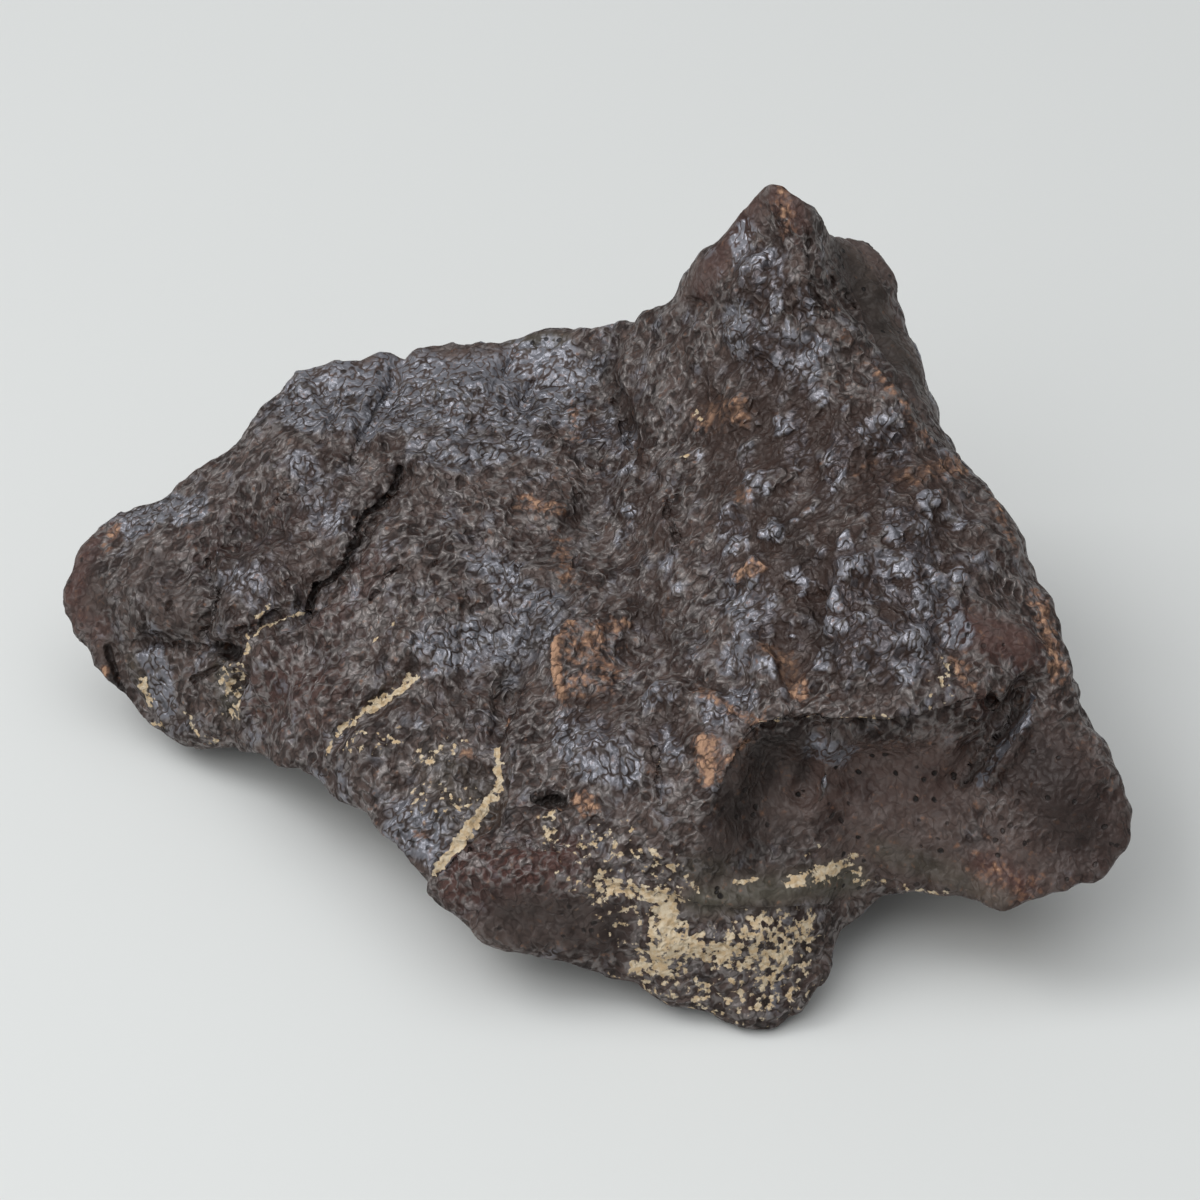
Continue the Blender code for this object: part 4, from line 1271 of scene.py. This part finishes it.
        # The polish, partly a painted reflection, with its lighter copy painted on the pebbly parts as
        # painted light.
        polish = self.blend(self.marks[Tint.PEBBLY], crust.polish, crust.lit_polish)
        tone = self.blend(self.math("MULTIPLY", self.glaze, 0.9), tone, polish)
        tone = self.blend(self.ramp(self.rust, 0.66, 0.88, 0.0, 0.75), tone, crust.dark_rust)
        tone = self.blend(self.ramp(self.rust, 0.84, 1.02, 0.0, 0.9), tone, crust.rust)
        # Painted shade in the creases between the fine wrinkles.
        low = self.math("MULTIPLY", self.ramp(self.fine, 0.0, 0.45, 0.6, 0.0), self.calm)
        tone = self.blend(low, tone, crust.crease)
        # Painted shade in the low ground between the broad wrinkles and the ridges.
        valley_shade = self.ramp(self.math("ADD", self.broad, self.ridges), 0.1, 0.8, 0.65, 0.0)
        valley_shade = self.math("MULTIPLY", valley_shade, self.math("POWER", self.calm, 2.0))
        tone = self.blend(valley_shade, tone, crust.crease)
        # Painted shade in the pinholes.
        tone = self.blend(self.pinholes, tone, crust.crease)
        # Painted shade in the low places of the pebbles and wrinkles.
        tone = self.blend(self.ramp(self.attribute(RELIEF), 0.3, 0.8, 0.8, 0.0), tone, crust.gap)
        # Painted shade where the shade marks lie.
        tone = self.blend(self.math("MULTIPLY", self.marks[Tint.SHADE], 0.7), tone, crust.crease)
        powder = self.ramp(self.noise(self.place, 2.4, 3.0), 0.35, 0.65)
        return self.blend(self.lime, tone, self.blend(powder, crust.lime, crust.pale_lime))

    def roughness(self) -> object:
        """Dull the crust, most of all in its creases and where rust or lime lies on it.

        Returns:
            The socket of the roughness.
        """
        dull = self.ramp(self.fine, 0.1, 0.6, 0.7, 0.42)
        dull = self.math("MULTIPLY_ADD", self.shiny, -0.26, dull)
        dull = self.math("MAXIMUM", dull, self.ramp(self.rust, 0.66, 0.95, 0.0, 0.75))
        dull = self.math("MAXIMUM", dull, self.math("MULTIPLY", self.lime, 0.9))
        return self.math("MULTIPLY_ADD", self.noise(self.place, 0.9, 2.0), 0.08, dull, clamp=True)


@dataclass(frozen=True)
class Lamp:
    """A soft lamp that shines on the stone.

    Attributes:
        name: Its name.
        place: Where it stands, in metres.
        width: The width of its face, in metres.
        power: In watts.
        colour: The colour of its light.
    """

    name: str
    place: tuple[float, float, float]
    width: float
    power: float
    colour: tuple[float, float, float]

    def light(self, aim: Vector) -> None:
        """Set the lamp up.

        Args:
            aim: Where it points.
        """
        data = bpy.data.lights.new(self.name, "AREA")
        data.size = self.width
        data.energy = self.power
        data.color = self.colour
        lamp = bpy.data.objects.new(self.name, data)
        lamp.location = self.place
        lamp.rotation_euler = (aim - Vector(self.place)).to_track_quat("-Z", "Y").to_euler()
        bpy.context.scene.collection.objects.link(lamp)


@dataclass(frozen=True)
class Studio:
    """The pale table, the soft lamps and the pale room.

    Attributes:
        table_width: In metres.
        table_colour: The colour of the table.
        room_colour: The colour of the light that comes from the room.
        room_strength: How strong that light is.
        lamps: The soft lamps.
        aim: The place that they point at, in metres.
    """

    table_width: float = 5.0
    table_colour: Colour = (0.72, 0.72, 0.70, 1)
    room_colour: Colour = (0.93, 0.97, 1.0, 1)
    room_strength: float = 0.29
    lamps: tuple[Lamp, ...] = (
        Lamp("ceiling", (0.0, -0.1, 1.2), 1.60, 8.4, (0.96, 0.98, 1.0)),
        Lamp("window", (-0.63, 0.10, 0.82), 0.50, 3.70, (0.96, 0.98, 1.0)),
        Lamp("near_window", (-0.22, -0.26, 0.32), 0.30, 0.50, (0.97, 0.99, 1.0)),
    )
    aim: Vector = Vector((0, 0, 0.015))

    def build(self) -> None:
        """Set up the table, the lamps and the room."""
        bpy.ops.object.select_all(action="DESELECT")
        bpy.ops.mesh.primitive_plane_add(size=self.table_width)
        table = bpy.context.active_object
        table.name = "table"
        table.data.materials.append(self.table_material())
        for lamp in self.lamps:
            lamp.light(self.aim)
        world = bpy.data.worlds.new("room")
        world.use_nodes = True
        background = world.node_tree.nodes["Background"]
        background.inputs["Color"].default_value = self.room_colour
        background.inputs["Strength"].default_value = self.room_strength
        bpy.context.scene.world = world
        bpy.context.scene.view_settings.view_transform = "Standard"

    def table_material(self) -> bpy.types.Material:
        """Make the table's matt pale surface.

        Returns:
            The material.
        """
        material = bpy.data.materials.new("pale_table")
        material.use_nodes = True
        shader = material.node_tree.nodes["Principled BSDF"]
        shader.inputs["Base Color"].default_value = self.table_colour
        shader.inputs["Roughness"].default_value = 0.6
        return material


def main() -> None:
    """Build the stone and its surroundings, and note the skin's scale, triangles and points."""
    logging.basicConfig(level=logging.INFO, format="%(message)s")
    noise.seed_set(DRIFT_SEED)
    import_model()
    sight = Sight()
    sight.place_camera()
    LOG.info("camera in place")
    Studio().build()
    LOG.info("table, lamps and room in place")
    stone = Stone(sight).build()
    LOG.info("%s: %d points", stone.name, len(stone.data.vertices))


if __name__ == "__main__":
    main()
